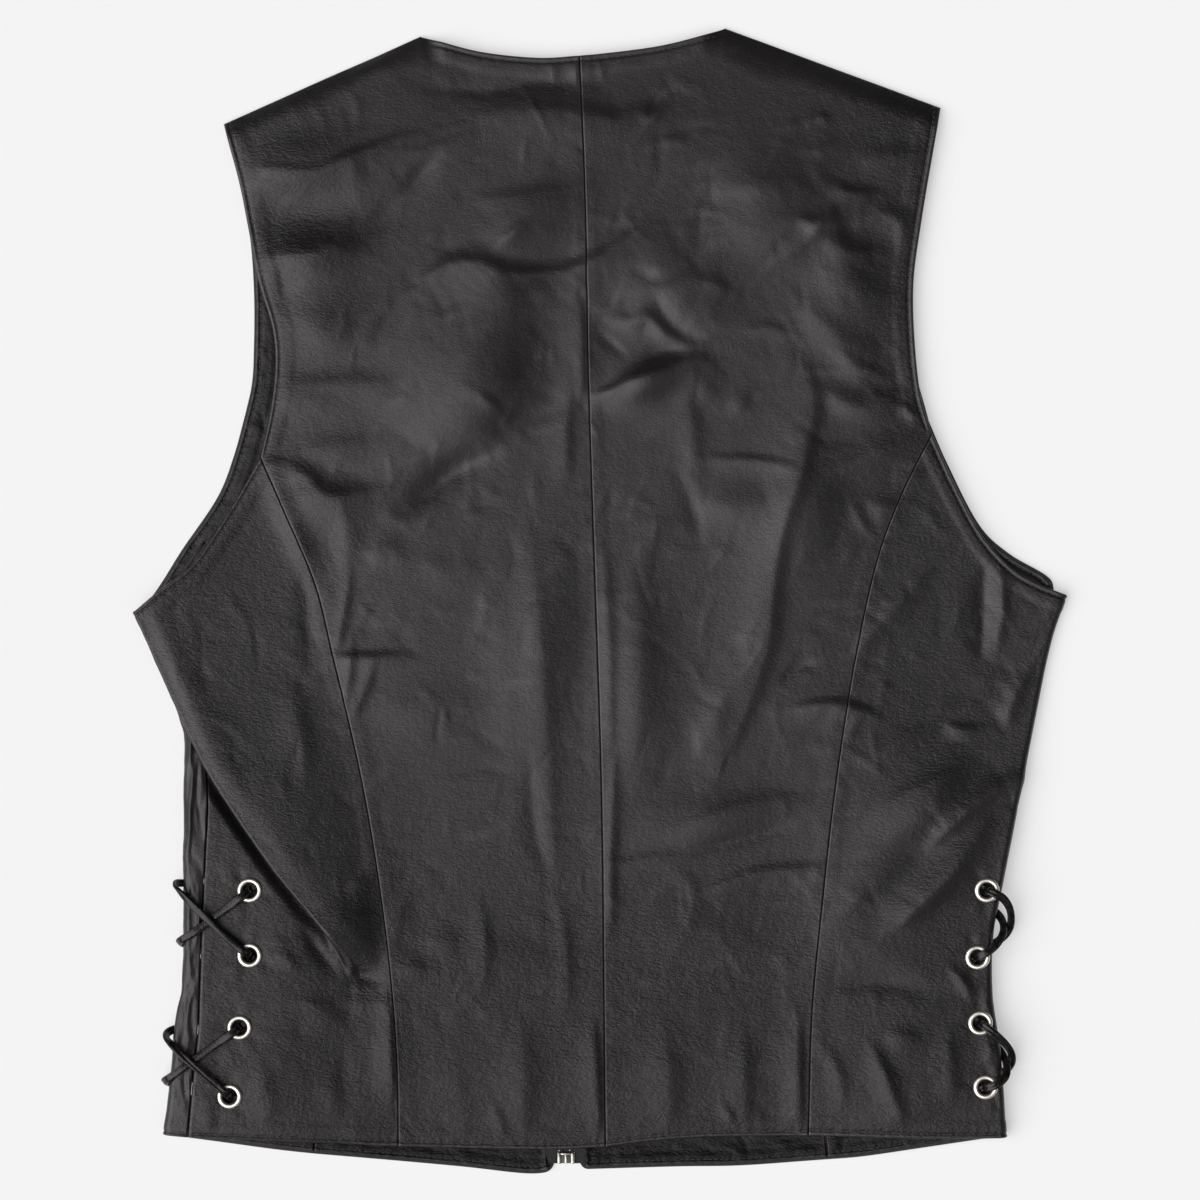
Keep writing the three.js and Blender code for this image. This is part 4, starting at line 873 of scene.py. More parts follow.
# Facings: strips of the same leather, sewn inside the fronts' armholes and hems. They show at the left
# armhole and below the back's hem, wrinkled and shiny, with a short seam in each hem facing.
FACING = 1.0
FACING_LIFT = 1.4 + 0.3 + FACING
FACING_STEP = 1.6
HEM_FACING_WIDTH = 22
# Painted shade: the facings' leather is coloured darker than the same leather on the other panels.
FACING_DARK_PAINTED_SHADE = (0.003, 0.0028, 0.0028, 1)
FACING_PALE_PAINTED_SHADE = (0.018, 0.0168, 0.0165, 1)
facing_painted_shade_finish = garment_leather("facing_leather_painted_shade", FACING_DARK_PAINTED_SHADE, FACING_PALE_PAINTED_SHADE, 0.0003, shine=0.18)


def strip(name, outer_edge, inner_edge, height, seed, stands_for, sink=0.0):
    """A facing between the edge of a front and a line inside it, with wrinkles along it."""
    length = np.linalg.norm(np.diff(outer_edge, axis=0), axis=1).sum()
    start = Border(((outer_edge[0], inner_edge[0]), 1))
    end = Border(((outer_edge[-1], inner_edge[-1]), 1))
    panel = Panel(start, end, Border((outer_edge, 10)), Border((inner_edge, 10)), FACING_STEP)
    panel.seamed(panel.to_first, panel.to_start)
    panel.seamed(panel.to_last, panel.to_start)
    panel.turned_in(panel.to_start, panel.to_first)
    creases = wrinkles(panel.x, panel.y, seed, round(length / 2.2), (0.15, 0.5), (5, 18), (1.4, 3.4))
    near_ends = smooth(panel.to_first / 3) * smooth(panel.to_last / 3) * smooth(panel.to_start / 4)
    sunk = sink * smooth((panel.to_start - 3) / 5)
    grid = panel.lift(height, np.clip(creases * near_ends, -0.6, 0.7) - sunk, -sunk)
    obj, (points,) = cloth(name, [grid], FACING, facing_painted_shade_finish, stands_for)
    return points


for side in (left, right):
    name = side["name"]
    _, inner, outer = front_borders[name]
    outward = -1 if side is left else 1
    side_end = left_start_border if side is left else Border((right_seam, SEAM_ROWS))
    upper = np.linspace(0.006, ARMHOLE_SHARE, 30)
    lower_armhole = Border(((*side["front_lower_armhole"], tuple(side_end.at(0))), 4))
    edge = np.vstack([outer.at(upper), lower_armhole.at(np.linspace(0.04, 0.96, 16))])
    tangent = unit(np.gradient(edge, axis=0))
    square = np.stack([tangent[:, 1], -tangent[:, 0]], -1) * outward * np.sign(-tangent[:, 1:2])
    inward = inner.at(upper)[10] - edge[10]
    square *= -1 if square[10] @ inward < 0 else 1
    width = 22 - 10 * smooth((np.arange(len(edge)) - 30) / 14)
    points = strip(f"armhole_facing_{name}_leather", edge + square * 0.9, edge + square * width[:, None],
                   lambda x, y: front_height(x, y) + FACING_LIFT, 40, [f"armhole_facing_{name}"])
    stitch_paths.append(points[:, stitch_line])


def hem_heights(x, y):
    over_tape = 1.9 * smooth((14 - np.abs(x - ZIP_X)) / 6)
    return front_height(x, y) + FACING_LIFT + over_tape


for side in (left, right):
    name = side["name"]
    hem_outline = left_front_side_hem if side is left else right_front_side_hem
    hem_end = left_roll_start[-1] if side is left else right_seam[-1]
    centre_hem = Border((side["front_hem"], 6))
    side_hem = Border(((*hem_outline, tuple(hem_end)), 4))
    lengths = [  # part, its border, its first and last share of that, length and area of its flat piece
        ("centre", centre_hem, 0.025, 0.998, 0.15, 0.0028),
        ("side", side_hem, 0.004, 0.86, 0.08, 0.0014),
    ]
    for part, border, first_share, last_share, flat_length, area in lengths:
        edge = border.at(np.linspace(first_share, last_share, 40))
        tangent = unit(np.gradient(edge, axis=0))
        inward = np.stack([-tangent[:, 1], tangent[:, 0]], -1)
        inward *= np.sign(inward[:, 1:2])
        lower_edge = edge + inward * 1.1
        if part == "centre":
            from_zip = np.abs(edge[:, 0] - side["front_hem"][0][0])
            lower_edge[:, 1] += rounded(from_zip, side["hem_corner"])
        points = strip(f"hem_facing_{part}_{name}_leather", lower_edge, edge + inward * HEM_FACING_WIDTH,
                       hem_heights, 50 + len(part), [f"hem_facing_{part}_{name}"],
                       sink=1.0)
        stitch_paths.append(points[:, stitch_line])


# Backs: two panels of black leather from the centre seam to the armholes and princess seams, which roll
# over the shoulders to seams underneath. Years of wear have creased them, most at the top.
folds = [  # middle x and y, angle, length, width and height of the broad folds
    (-165, 236, 12, 60, 13, 3.0), (-160, 208, 14, 55, 11, -1.4), (-160, 188, 10, 50, 14, 2.6),
    (-150, 150, -4, 45, 20, 2.0), (-40, 205, 30, 60, 14, 3.2), (-30, 176, 12, 40, 10, -2.4),
    (42, 170, -40, 60, 24, 3.6), (-60, 110, 52, 60, 18, 3.2), (24, 118, 25, 34, 10, 3.4),
    (96, 218, -25, 60, 22, 2.8), (134, 170, -50, 50, 16, 2.8), (112, 50, 76, 60, 16, 3.0),
    (-30, -20, 86, 90, 18, 2.4), (20, -40, 92, 90, 16, 2.0), (180, -110, 40, 60, 14, 3.2),
    (165, -140, 42, 55, 10, -1.8), (60, -120, 6, 70, 14, 2.2),
]
# Creases in the leather: the way of each in millimetres, its height (below zero for a trough), and its
# width on the left and on the right of that way.
creases = [
    ([(-186, 234), (-167, 232), (-152, 232), (-138, 238), (-116, 247), (-107, 250)], 1.7, 2.8, 14),
    ([(-116, 242), (-94, 244), (-69, 252)], 0.45, 1.8, 6),
    ([(-140, 193), (-121, 204), (-104, 220), (-91, 237)], -1.7, 9, 9),
    ([(-105, 221), (-97, 230), (-89, 238)], -0.8, 4, 5),
    ([(-186, 183), (-170, 185), (-157, 186), (-144, 191), (-135, 200)], 2.6, 6, 20),
    ([(-177, 189), (-172, 176), (-171, 159)], -1.0, 9, 4),
    ([(-95, 173), (-81, 181), (-66, 182), (-48, 176), (-30, 177), (-15, 178), (-4, 183), (6, 189),
       (13, 195)], 3.4, 5.5, 18),
    ([(-54, 194), (-48, 198), (-40, 204)], 0.8, 3, 5),
    ([(-98, 83), (-81, 109), (-67, 134), (-53, 158), (-42, 168)], 4.8, 34, 24),
    ([(-54, 106), (-52, 93), (-38, 99), (-18, 106)], -1.2, 6, 7),
    ([(-33, 140), (-38, 129), (-48, 116)], -0.9, 7, 7),
    ([(-103, 50), (-92, 59), (-80, 68), (-60, 78)], -3.4, 9, 8),
    ([(-181, 117), (-157, 116), (-135, 117), (-112, 116)], 1.5, 6, 12),
    ([(-179, 109), (-162, 107), (-146, 106)], 1.0, 6, 10),
    ([(-162, 81), (-146, 81), (-126, 86)], 1.2, 7, 10),
    ([(-178, 73), (-162, 69), (-149, 57), (-135, 56), (-124, 59)], 2.6, 6, 14),
    ([(-173, 52), (-157, 54), (-135, 57)], 1.0, 9, 12),
    ([(-92, 276), (-65, 275), (-51, 276), (-42, 279), (-22, 279), (0, 279)], -1.0, 8, 4),
    ([(-68, 260), (-49, 264), (-30, 264), (-5, 261), (12, 260), (26, 264)], 2.0, 7, 18),
    ([(-25, 292), (-25, 279)], 0.5, 2, 2),
    ([(-13, 292), (-13, 280)], 0.6, 2, 2),
    ([(0, 291), (2, 281)], 0.4, 2, 2.5),
    ([(-42, 279), (-34, 264), (-26, 249)], 0.4, 1.2, 1.2),
    ([(-11, 159), (-10, 135), (-10, 110)], 1.3, 4.5, 12),
    ([(-16, 116), (-18, 92), (-18, 65)], 0.9, 4, 9),
    ([(-66, 112), (-57, 104), (-50, 95)], 0.9, 3, 4),
    ([(-162, 152), (-146, 143), (-134, 146)], 0.9, 9, 12),
    ([(-134, 243), (-132, 221)], 0.5, 6, 6),
    ([(-70, 216), (-43, 218), (-22, 222)], 0.6, 4, 8),
    ([(-66, 183), (-54, 192), (-41, 202)], 0.6, 3, 5),
    ([(-112, 162), (-123, 146), (-130, 134)], 0.5, 6, 8),
    ([(126, 225), (135, 220), (148, 220)], 1.5, 3.2, 8),
    ([(140, 238), (157, 240), (172, 241)], 1.0, 5, 9),
    ([(106, 206), (116, 204), (127, 212)], 1.7, 4, 8),
    ([(122, 197), (134, 188), (149, 189)], 1.6, 6, 8),
    ([(143, 204), (151, 208), (160, 206), (166, 195)], 1.4, 6, 7),
    ([(54, 202), (76, 200), (92, 199), (108, 204)], 2.2, 15, 24),
    ([(60, 221), (81, 224), (103, 224)], 0.8, 8, 12),
    ([(90, 180), (111, 194), (125, 207)], 0.8, 2.5, 5),
    ([(18, 179), (30, 173), (43, 178), (57, 189)], -0.9, 4, 4.5),
    ([(56, 173), (70, 168)], 0.7, 2.5, 5),
    ([(117, 260), (123, 262)], 0.6, 1.5, 3),
    ([(94, 251), (108, 258), (124, 261)], 0.4, 3, 4),
    ([(108, 242), (124, 245), (138, 252)], 0.5, 3, 5),
    ([(23, 244), (35, 248), (49, 249)], 0.5, 2.5, 4),
    ([(27, 264), (31, 270), (36, 274)], -0.6, 2.5, 2.5),
    ([(22, 264), (28, 261), (32, 267)], 0.6, 3, 5),
    ([(0, 144), (8, 137), (14, 132)], -0.7, 2, 3),
    ([(6, 152), (16, 150), (26, 152), (37, 143), (48, 137), (57, 138)], 1.8, 6, 5),
    ([(30, 164), (35, 152), (45, 143), (56, 140)], -1.6, 5, 8),
    ([(-1, 109), (14, 117), (32, 123), (53, 130), (60, 127)], 2.0, 4, 12),
    ([(49, 126), (54, 117), (62, 108)], 1.0, 8, 8),
    ([(22, 129), (32, 134), (49, 137)], -1.0, 4, 4),
    ([(111, 126), (116, 106), (112, 86), (109, 69), (101, 46), (96, 24), (93, 0), (91, -22),
       (85, -43), (70, -82)], 2.0, 5, 18),
    ([(109, 162), (120, 150), (135, 137), (151, 132)], 1.7, 10, 12),
    ([(129, 135), (141, 125), (156, 121)], 1.0, 4, 7),
    ([(76, 145), (91, 147), (103, 143)], 0.6, 3, 4),
    ([(123, 112), (135, 106), (149, 103), (160, 107)], 1.8, 8, 9),
    ([(146, 114), (152, 109), (159, 112)], 0.9, 3, 5),
    ([(160, 106), (175, 98)], 1.0, 2.5, 4),
    ([(127, 70), (144, 77), (162, 86), (171, 94)], 1.9, 7, 9),
    ([(57, 54), (75, 50), (91, 55)], 1.3, 12, 12),
    ([(57, 77), (82, 76), (92, 75), (105, 72)], 0.8, 1.8, 6),
    ([(70, 102), (77, 107), (82, 110)], 0.7, 6, 6),
    ([(46, 113), (50, 92), (53, 70)], 0.8, 5, 9),
    ([(41, 70), (49, 54), (54, 32)], -0.6, 4, 6),
    ([(138, -30), (154, -10), (176, 14)], 1.2, 5, 6),
    ([(145, 54), (153, 50), (162, 52)], 1.0, 6, 7),
    ([(136, 54), (141, 43), (147, 35)], 0.7, 3, 3),
    ([(-5, 111), (11, 114)], 0.6, 2, 4),
    ([(22, 22), (25, 32), (37, 43)], 0.5, 5, 5),
    ([(-178, 70), (-171, 50), (-162, 30), (-156, 8)], 1.6, 6, 6),
    ([(-160, 22), (-158, -11), (-157, -37)], -0.8, 6, 5),
    ([(-140, 54), (-136, 32), (-138, 14)], 1.0, 8, 6),
    ([(-135, 14), (-139, -11), (-142, -26)], 0.9, 3, 4),
    ([(-126, 22), (-113, 28), (-108, 22)], 0.8, 5, 6),
    ([(-167, -49), (-162, -73), (-159, -94)], 1.2, 7, 10),
    ([(-242, -8), (-232, -30), (-222, -54), (-210, -82), (-197, -108)], 1.0, 12, 5),
    ([(-146, -31), (-124, -31), (-104, -30)], 1.4, 2.5, 7),
    ([(-122, -35), (-127, -49), (-134, -64)], 0.9, 2.5, 6),
    ([(-134, -22), (-135, -35), (-137, -54)], 0.8, 3, 4),
    ([(-158, -180), (-148, -192), (-136, -201), (-120, -206)], -3.8, 6, 4.2),
    ([(-174, -189), (-162, -199)], 0.8, 3, 5),
    ([(-160, -218), (-141, -227)], 0.5, 5, 8),
    ([(-167, -216), (-151, -220), (-140, -229), (-134, -240)], 0.5, 6, 8),
    ([(-103, -157), (-108, -170), (-111, -184)], 0.5, 5, 6),
    ([(-94, -184), (-77, -184)], 0.8, 5, 8),
    ([(-110, -199), (-94, -198)], 0.9, 4, 5),
    ([(-65, -165), (-62, -186), (-63, -208)], 0.8, 4, 6),
    ([(-37, 32), (-32, -27), (-28, -86), (-25, -146)], 0.8, 6, 14),
    ([(-56, 22), (-54, -27), (-48, -76)], 0.6, 10, 12),
    ([(-38, -86), (-35, -124), (-28, -151)], -0.7, 5, 5),
    ([(-138, -216), (-123, -218), (-112, -216)], 0.8, 3, 5),
    ([(-22, -162), (-18, -194), (-18, -221)], 0.7, 4, 6),
    ([(-119, -54), (-97, -60), (-70, -54)], 0.9, 12, 16),
    ([(-108, -199), (-86, -202), (-54, -194), (-22, -199)], 1.0, 12, 20),
    ([(-97, 22), (-81, 15), (-65, 22)], 0.6, 8, 9),
    ([(-42, -232), (-41, -259), (-42, -288)], 1.4, 8, 11),
    ([(-4, -228), (-2, -259), (-1, -286)], 1.4, 3, 8),
    ([(-114, -221), (-113, -246), (-112, -267)], 1.5, 3, 8),
    ([(-213, -267), (-212, -288)], 1.2, 5, 6),
    ([(-183, -248), (-179, -281)], 0.8, 6, 7),
    ([(-146, -254), (-141, -284)], 0.8, 6, 7),
    ([(-78, -248), (-76, -286)], 0.5, 6, 9),
    ([(-58, -274), (-51, -289)], 0.8, 3, 4),
    ([(54, -135), (79, -129), (103, -122)], -1.2, 5, 4),
    ([(1, -144), (30, -139), (51, -139)], 0.8, 2.5, 6),
    ([(55, -158), (82, -148), (120, -144)], 1.2, 3, 7),
    ([(49, -121), (76, -111), (104, -107)], 0.7, 4, 6),
    ([(104, -58), (128, -56), (149, -62)], 1.5, 2.5, 8),
    ([(187, -67), (195, -70), (204, -69)], 1.1, 3, 5),
    ([(178, -133), (205, -108), (228, -95)], 2.8, 7, 5),
    ([(157, -178), (186, -151), (208, -122)], 3.6, 9, 7),
    ([(122, -176), (143, -157), (168, -138)], 2.2, 9, 9),
    ([(146, -120), (162, -106), (194, -91)], 0.9, 4, 6),
    ([(140, -86), (162, -77), (178, -65)], 0.8, 6, 7),
    ([(208, 17), (207, -5), (206, -30)], -1.6, 4, 6),
    ([(216, 22), (218, 0), (215, -27)], 0.9, 3, 4),
    ([(232, -39), (225, -51), (220, -66)], 1.3, 4, 6),
    ([(98, -44), (108, -36), (117, -35)], -0.9, 3, 3),
    ([(54, -86), (66, -54), (84, -39)], 0.9, 8, 8),
    ([(36, -144), (49, -154), (49, -170), (37, -195)], 0.5, 4, 4),
    ([(130, -208), (151, -207), (178, -211)], -1.4, 7, 6),
    ([(119, -194), (135, -184), (157, -189)], 0.9, 8, 9),
    ([(189, -199), (195, -205), (201, -216)], 1.2, 3, 3),
    ([(154, -234), (172, -237)], 1.2, 4, 6),
    ([(147, -241), (156, -262), (163, -280)], 1.9, 4, 6),
    ([(8, -86), (6, -135), (5, -178)], 1.0, 4, 4),
    ([(3, 22), (5, -22), (6, -76)], 0.8, 4, 6),
    ([(22, 22), (21, -54), (18, -108)], 0.6, 9, 14),
    ([(65, -54), (63, -97)], 0.5, 8, 8),
    ([(22, -184), (54, -178), (86, -186)], 1.1, 14, 18),
    ([(35, -232), (37, -259), (37, -287)], 1.4, 8, 11),
    ([(77, -235), (78, -262), (79, -285)], 1.3, 6, 10),
    ([(107, -226), (107, -254), (108, -285)], 1.5, 3, 8),
    ([(187, -232), (189, -252), (190, -270)], 1.1, 5, 8),
    ([(211, -239), (210, -251)], 0.8, 3, 4),
    ([(66, -272), (73, -283)], 0.9, 2, 3),
    ([(120, -240), (129, -256), (131, -272)], 1.0, 4, 5),
    ([(140, -278), (165, -276), (186, -269)], 0.7, 4, 6),
]


def back_surface(x, y):
    in_from_sides = smooth((215 - np.abs(x)) / 120)
    in_from_ends = smooth((y + 298) / 50) * smooth((302 - y) / 70)
    height = lower_back_height(x, y) + CENTRE_RISE * in_from_sides * in_from_ends
    in_from_edges = smooth((210 - np.abs(x)) / 30) * smooth((y + 298) / 30) * smooth((300 - y) / 40)
    for fold_x, fold_y, degrees, length, width, rise in folds:
        angle = math.radians(degrees)
        along = ((x - fold_x) * math.cos(angle) + (y - fold_y) * math.sin(angle)) / (length / 2)
        across = ((y - fold_y) * math.cos(angle) - (x - fold_x) * math.sin(angle)) / width
        height = height + in_from_edges * rise * np.exp(-(along ** 2) - across ** 2)
    return height


def crease_relief(x, y):
    relief = np.zeros(x.shape)
    for route, height, width_left, width_right in creases:
        way = curve_through(route, np.linspace(0, 1, 28))
        reach = 2.6 * max(width_left, width_right)
        near = ((x > way[:, 0].min() - reach) & (x < way[:, 0].max() + reach)
                & (y > way[:, 1].min() - reach) & (y < way[:, 1].max() + reach))
        if not near.any():
            continue
        points = np.stack([x[near], y[near]], -1)
        step = np.diff(way, axis=0)
        offset = points[:, None] - way[:-1]
        share = np.clip((offset * step).sum(-1) / (step ** 2).sum(-1), 0, 1)
        apart = offset - share[..., None] * step
        distance = np.hypot(apart[..., 0], apart[..., 1])
        closest = distance.argmin(1)
        pick = np.arange(len(points))
        distance = distance[pick, closest]
        on_left = step[closest, 0] * apart[pick, closest, 1] - step[closest, 1] * apart[pick, closest, 0] > 0
        place = (closest + share[pick, closest]) / len(step)
        taper = np.sin(np.pi * np.clip(0.06 + 0.88 * place, 0, 1)) ** 0.8
        width = np.where(on_left, width_left, width_right) * (0.6 + 0.4 * taper)
        relief[near] += height * taper * np.exp(-((distance / width) ** 1.7))
    return relief


BACK_STEP = 1.95
NECK_PLACES = 5
SHOULDER_PLACES = 6
NECK_SHARE = NECK_PLACES / (NECK_PLACES + SHOULDER_PLACES)
SHOULDER_DROP = 4.2
SHOULDER_ROLL_INSIDE = 1.0


def shoulder_reach(x):
    """How far from its roll the back begins to slope down to the shoulder: further at the neck."""
    uneven = 3 * np.exp(-(((x + 150) / 14) ** 2)) - 2.5 * np.exp(-(((x + 120) / 12) ** 2))
    return 11 + 7 * np.exp(-(((np.abs(x) - 88) / 22) ** 2)) + 3 * (x > 0) + uneven


back_finish = garment_leather("back_leather")
back_princess = {}
for side in (left, right):
    name = side["name"]
    neck, tip, outward = shoulder_line(side, SHOULDER_ROLL_INSIDE)
    top = Border(((*side["neckline"], tuple(neck)), NECK_PLACES), ((neck, tip), SHOULDER_PLACES))
    seam = Border((centre_seam, ARMHOLE_ROWS + SEAM_ROWS))
    outer = Border(((tip, *side["armhole"]), ARMHOLE_ROWS), (side["princess"], SEAM_ROWS))
    back_princess[name] = Border((side["princess"], SEAM_ROWS))
    hem = Border((side["hem"], NECK_PLACES + SHOULDER_PLACES))
    panel = Panel(top, hem, seam, outer, BACK_STEP, ARMHOLE_SHARE, NECK_SHARE)
    neckline = smooth((NECK_SHARE - panel.across) * 14)
    armhole = panel.down[:, None] < ARMHOLE_SHARE
    panel.seamed(panel.to_start, panel.to_first)
    panel.turned_in(panel.to_last, panel.to_start)
    panel.turned_in(panel.to_first, panel.to_start, neckline)
    panel.turned_in(panel.to_end, panel.to_first, armhole)
    panel.seamed(panel.to_end, panel.to_first, ~armhole)
    fade = 0.25 + 0.75 * smooth(np.minimum(panel.to_last, np.where(armhole, panel.to_end, 99)) / 12)
    fade *= 0.3 + 0.7 * smooth((panel.to_first + 6 * (1 - neckline)) / 14)
    creased = crease_relief(panel.x, panel.y) * fade
    small = wrinkles(panel.x, panel.y, 11 if side is left else 12, 420) * fade
    reach = shoulder_reach(panel.x)
    drop = SHOULDER_DROP * (1 - neckline) * np.clip(1 - panel.to_first / reach, 0, 1) ** 2
    grid = panel.lift(lambda x, y: back_surface(x, y) - drop, creased + small, creased)
    grid["rub"] = np.maximum(grid["rub"], 0.35 * smooth(small / 0.2))

    line = panel.across[0] > NECK_SHARE - 1e-6
    row = grid["points"][0][line]
    directions = np.broadcast_to(outward, (len(row), 2))
    tilt = np.arctan(2 * SHOULDER_DROP / reach[0][line])
    roll = half_roll(row, directions, -row[:, 2], ROLL_STEPS, tilt)
    under_reach = SHOULDER_SEAM_INSIDE - SHOULDER_ROLL_INSIDE - SEAM_GAP / 2
    under = row[:, None, :2] - outward * under_reach * np.array([0.5, 1])[:, None]
    under = np.concatenate([under, np.zeros(under.shape[:2] + (1,))], -1)
    flap_points = np.concatenate([row[:, None], roll, under], 1).transpose(1, 0, 2)[::-1]
    turned = np.linspace(0, 1, len(flap_points))[:, None] ** 3
    flap = {"points": flap_points, "relief": turned * np.minimum(grid["relief"][0][line], 0),
            "inside": turned * creased[0][line], "rub": 0.0}
    back, (points, _) = cloth("back_" + name + "_leather", [grid, flap], LEATHER, back_finish,
                              ["back_" + name])
    neck_columns = np.flatnonzero(panel.across[0] < NECK_SHARE)
    stitch_paths += [points[stitch_line, neck_columns], points[-1 - stitch_line],
                     points[:np.flatnonzero(armhole[:, 0])[-1] + 1, -1 - stitch_line]]


# Side backs: from the princess seams to the side seams. The left one folds over on itself and back, and
# the right one rolls under the vest's edge. Each has four eyelets, round which the leather puckers.
SIDE_BACK_STEP = 1.8
LEFT_BACK_LAYER = (8, 20)
RIGHT_BACK_LAYER = (7.5, 20)
TURN_LENGTH = 6.2
BACK_TURN_LENGTH = 1.6
TURN_STEPS = 14
RUN_STEPS = 4
BACK_TURN_STEPS = 5
LEAST_RUN = 0.6
FOLD_DIP_WIDTH = 7
FOLD_EDGE_DIP = 0.7


def fold_profile(turn, run):
    """Where a fold's profile goes, out and down, after each step of a turn, a run and a turn back."""
    steps = [(TURN_LENGTH, 1, TURN_STEPS), (run, 0, RUN_STEPS), (BACK_TURN_LENGTH, -1, BACK_TURN_STEPS)]
    out, down, angle, places = 0.0, 0.0, 0.0, []
    for length, turned, count in steps:
        for _ in range(count):
            heading = angle + turned * turn / count / 2
            out = out + length / count * np.cos(heading)
            down = down + length / count * np.sin(heading)
            angle = angle + turned * turn / count
            places.append((out, down))
    return places


def side_back(side, hem_outline, end_column, seed):
    """The flat part of a side back, from the princess seam to a column of points: its panel, how its
    creases fade towards its ends, and the relief of its creases and of its small wrinkles."""
    top = Border(((*side["lower_armhole"], tuple(end_column[0])), 6))
    hem = Border(((*hem_outline, tuple(end_column[-1])), 6))
    end = Border((end_column, SEAM_ROWS))
    panel = Panel(top, hem, back_princess[side["name"]], end, SIDE_BACK_STEP)
    panel.seamed(panel.to_start, panel.to_first)
    panel.turned_in(panel.to_first, panel.to_start)
    panel.turned_in(panel.to_last, panel.to_start)
    fade = 0.25 + 0.75 * smooth(np.minimum(panel.to_last, panel.to_first) / 12)
    creased = crease_relief(panel.x, panel.y) * fade
    return panel, fade, creased, wrinkles(panel.x, panel.y, seed, 260) * fade


fold_edge = station_points("fold", shares)
fold_out = square_to(fold_edge, -1)
fold_start = fold_edge - fold_out * TURN_LENGTH / np.pi
panel, fade, creased, small = side_back(left, left_side_hem, fold_start, 13)
grid = panel.lift(back_surface, creased + small, creased)
grid["ends"] = over_ends(panel)
down = panel.down
out = at_rows(fold_out, down)
turn = np.radians(np.clip(station("turn", down), 0, 180))
run = np.maximum(station("run", down), LEAST_RUN)
places = fold_profile(turn, run)
start = grid["points"][:, -1].copy()
ended = start[:, :2] + out * places[-1][0][:, None]
lowest = lower_back_height(ended[:, 0], ended[:, 1])
rise = lowest + places[-1][1] - start[:, 2]
grid["points"][..., 2] += rise[:, None] * (0.35 * panel.across + 0.65 * smooth(panel.across))
folded = [np.column_stack([start[:, :2] + out * far[:, None], lowest + places[-1][1] - deep])
          for far, deep in places]
seam = station_points("seam", down)
seam = seam + unit(ended - seam) * SEAM_GAP / 2
lower_shares = np.concatenate([np.linspace(0, 0.86, 36)[1:], [0.9, 0.93, 0.955, 0.975, 0.99, 1.0]])
lower = ended[:, None] + (seam - ended)[:, None] * lower_shares[:, None]
lower = raised(lower, lower_back_height)
seam_relief, seam_rub = side_seam(lower, down)
folded = np.stack(folded, 1)
unfolded = 1 - smooth(turn[:, None] / 0.6)
seam_fade = smooth((1 - lower_shares) / 0.2) * fade[:, :1]
fold_fade = smooth(lower_shares / 0.2)
lower_small = wrinkles(lower[..., 0], lower[..., 1], 14, 160) * seam_fade * fold_fade
lower_creased = crease_relief(lower[..., 0], lower[..., 1]) * seam_fade * np.maximum(fold_fade, unfolded)
left_eyes = eyes("left", "back")
edge = at_rows(fold_edge, down)
from_fold = ((lower[..., :2] - edge[:, None]) * out[:, None]).sum(-1)
dip = station("dip", down)[:, None] * (1 - smooth((from_fold + 1) / FOLD_DIP_WIDTH))
drawn_in = dents(lower[..., 0], lower[..., 1], left_eyes)
lower_relief = seam_relief + lower_small + lower_creased + drawn_in - dip
edge_dip = FOLD_EDGE_DIP * smooth(turn[:, None] / 1.5)
sunk = edge_dip * np.exp(-((panel.to_end / 7) ** 2))
grid["relief"] = grid["relief"] - sunk
grid["inside"] = grid["inside"] - sunk
fold_columns = np.arange(folded.shape[1])
fading = 1 - fold_columns / fold_columns[-1]
folded_creased = crease_relief(folded[..., 0], folded[..., 1])
end_creased = creased[:, -1:] * fading * (1 - unfolded) + folded_creased * unfolded
end_creased = end_creased + (small[:, -1:] - edge_dip) * fading
extra = np.concatenate([folded, lower], 1)
rub = np.concatenate([0.3 * smooth(turn[:, None]) * np.exp(-(((fold_columns - 4) / 4) ** 2)), seam_rub], 1)
inside = np.concatenate([np.minimum(end_creased, 0), np.minimum(lower_creased, 0) - dip], 1)
grid = widened(grid, extra, np.concatenate([end_creased, lower_relief], 1), rub, inside)
grid["keep"] = holes(grid["points"], left_eyes, LEFT_BACK_LAYER)
side_back_left, (points,) = cloth("side_back_left_leather", [grid], LEATHER, back_finish,
                                  ["side_back_left"])
stitch_paths += [points[stitch_line, :-TURN_STEPS], points[-1 - stitch_line]]

panel, _, creased, small = side_back(right, right_side_hem, right_roll_start, 15)
right_eyes = eyes("right", "back")
grid = panel.lift(back_surface, creased + small + dents(panel.x, panel.y, right_eyes), creased)
grid["ends"] = over_ends(panel)
down = panel.down
out = at_rows(right_out, down)
start = grid["points"][:, -1]
low = front_height(start[:, 0], start[:, 1])
roll = half_roll(start, out, low - start[:, 2], ROLL_STEPS)
width_under = np.interp(down, shares, side_under) - SEAM_GAP / 2
under_shares = np.array([0.3, 0.6, 0.8, 0.92, 1.0])
under = start[:, None, :2] - out[:, None] * (width_under[:, None] * under_shares)[..., None]
under = raised(under, front_height)
fading = np.linspace(1, 0, ROLL_STEPS)
relief = np.concatenate([(creased + small)[:, -1:] * fading, np.zeros((len(down), len(under_shares)))], 1)
grid = widened(grid, np.concatenate([roll, under], 1), relief, 0.12)
grid["relief"][:, -len(under_shares):] = np.minimum(grid["relief"][:, -len(under_shares):], 0)
grid["keep"] = holes(grid["points"], right_eyes, RIGHT_BACK_LAYER)
side_back_right, (points,) = cloth("side_back_right_leather", [grid], LEATHER, back_finish,
                                   ["side_back_right"])
stitch_paths += [points[stitch_line, :-ROLL_STEPS], points[-1 - stitch_line, :-ROLL_STEPS]]


# Topstitching: single rows of black thread just inside every turned edge, about eight stitches to the inch,
# each stitch sunk into the leather at its ends.
STITCH_LENGTH = 2.3
STITCH_PITCH = 3.1
THREAD = 0.28
STITCH_DEPTH = 0.24  # how far a stitch reaches below its place
STITCH_RINGS = 7
STITCH_SIDES = 6


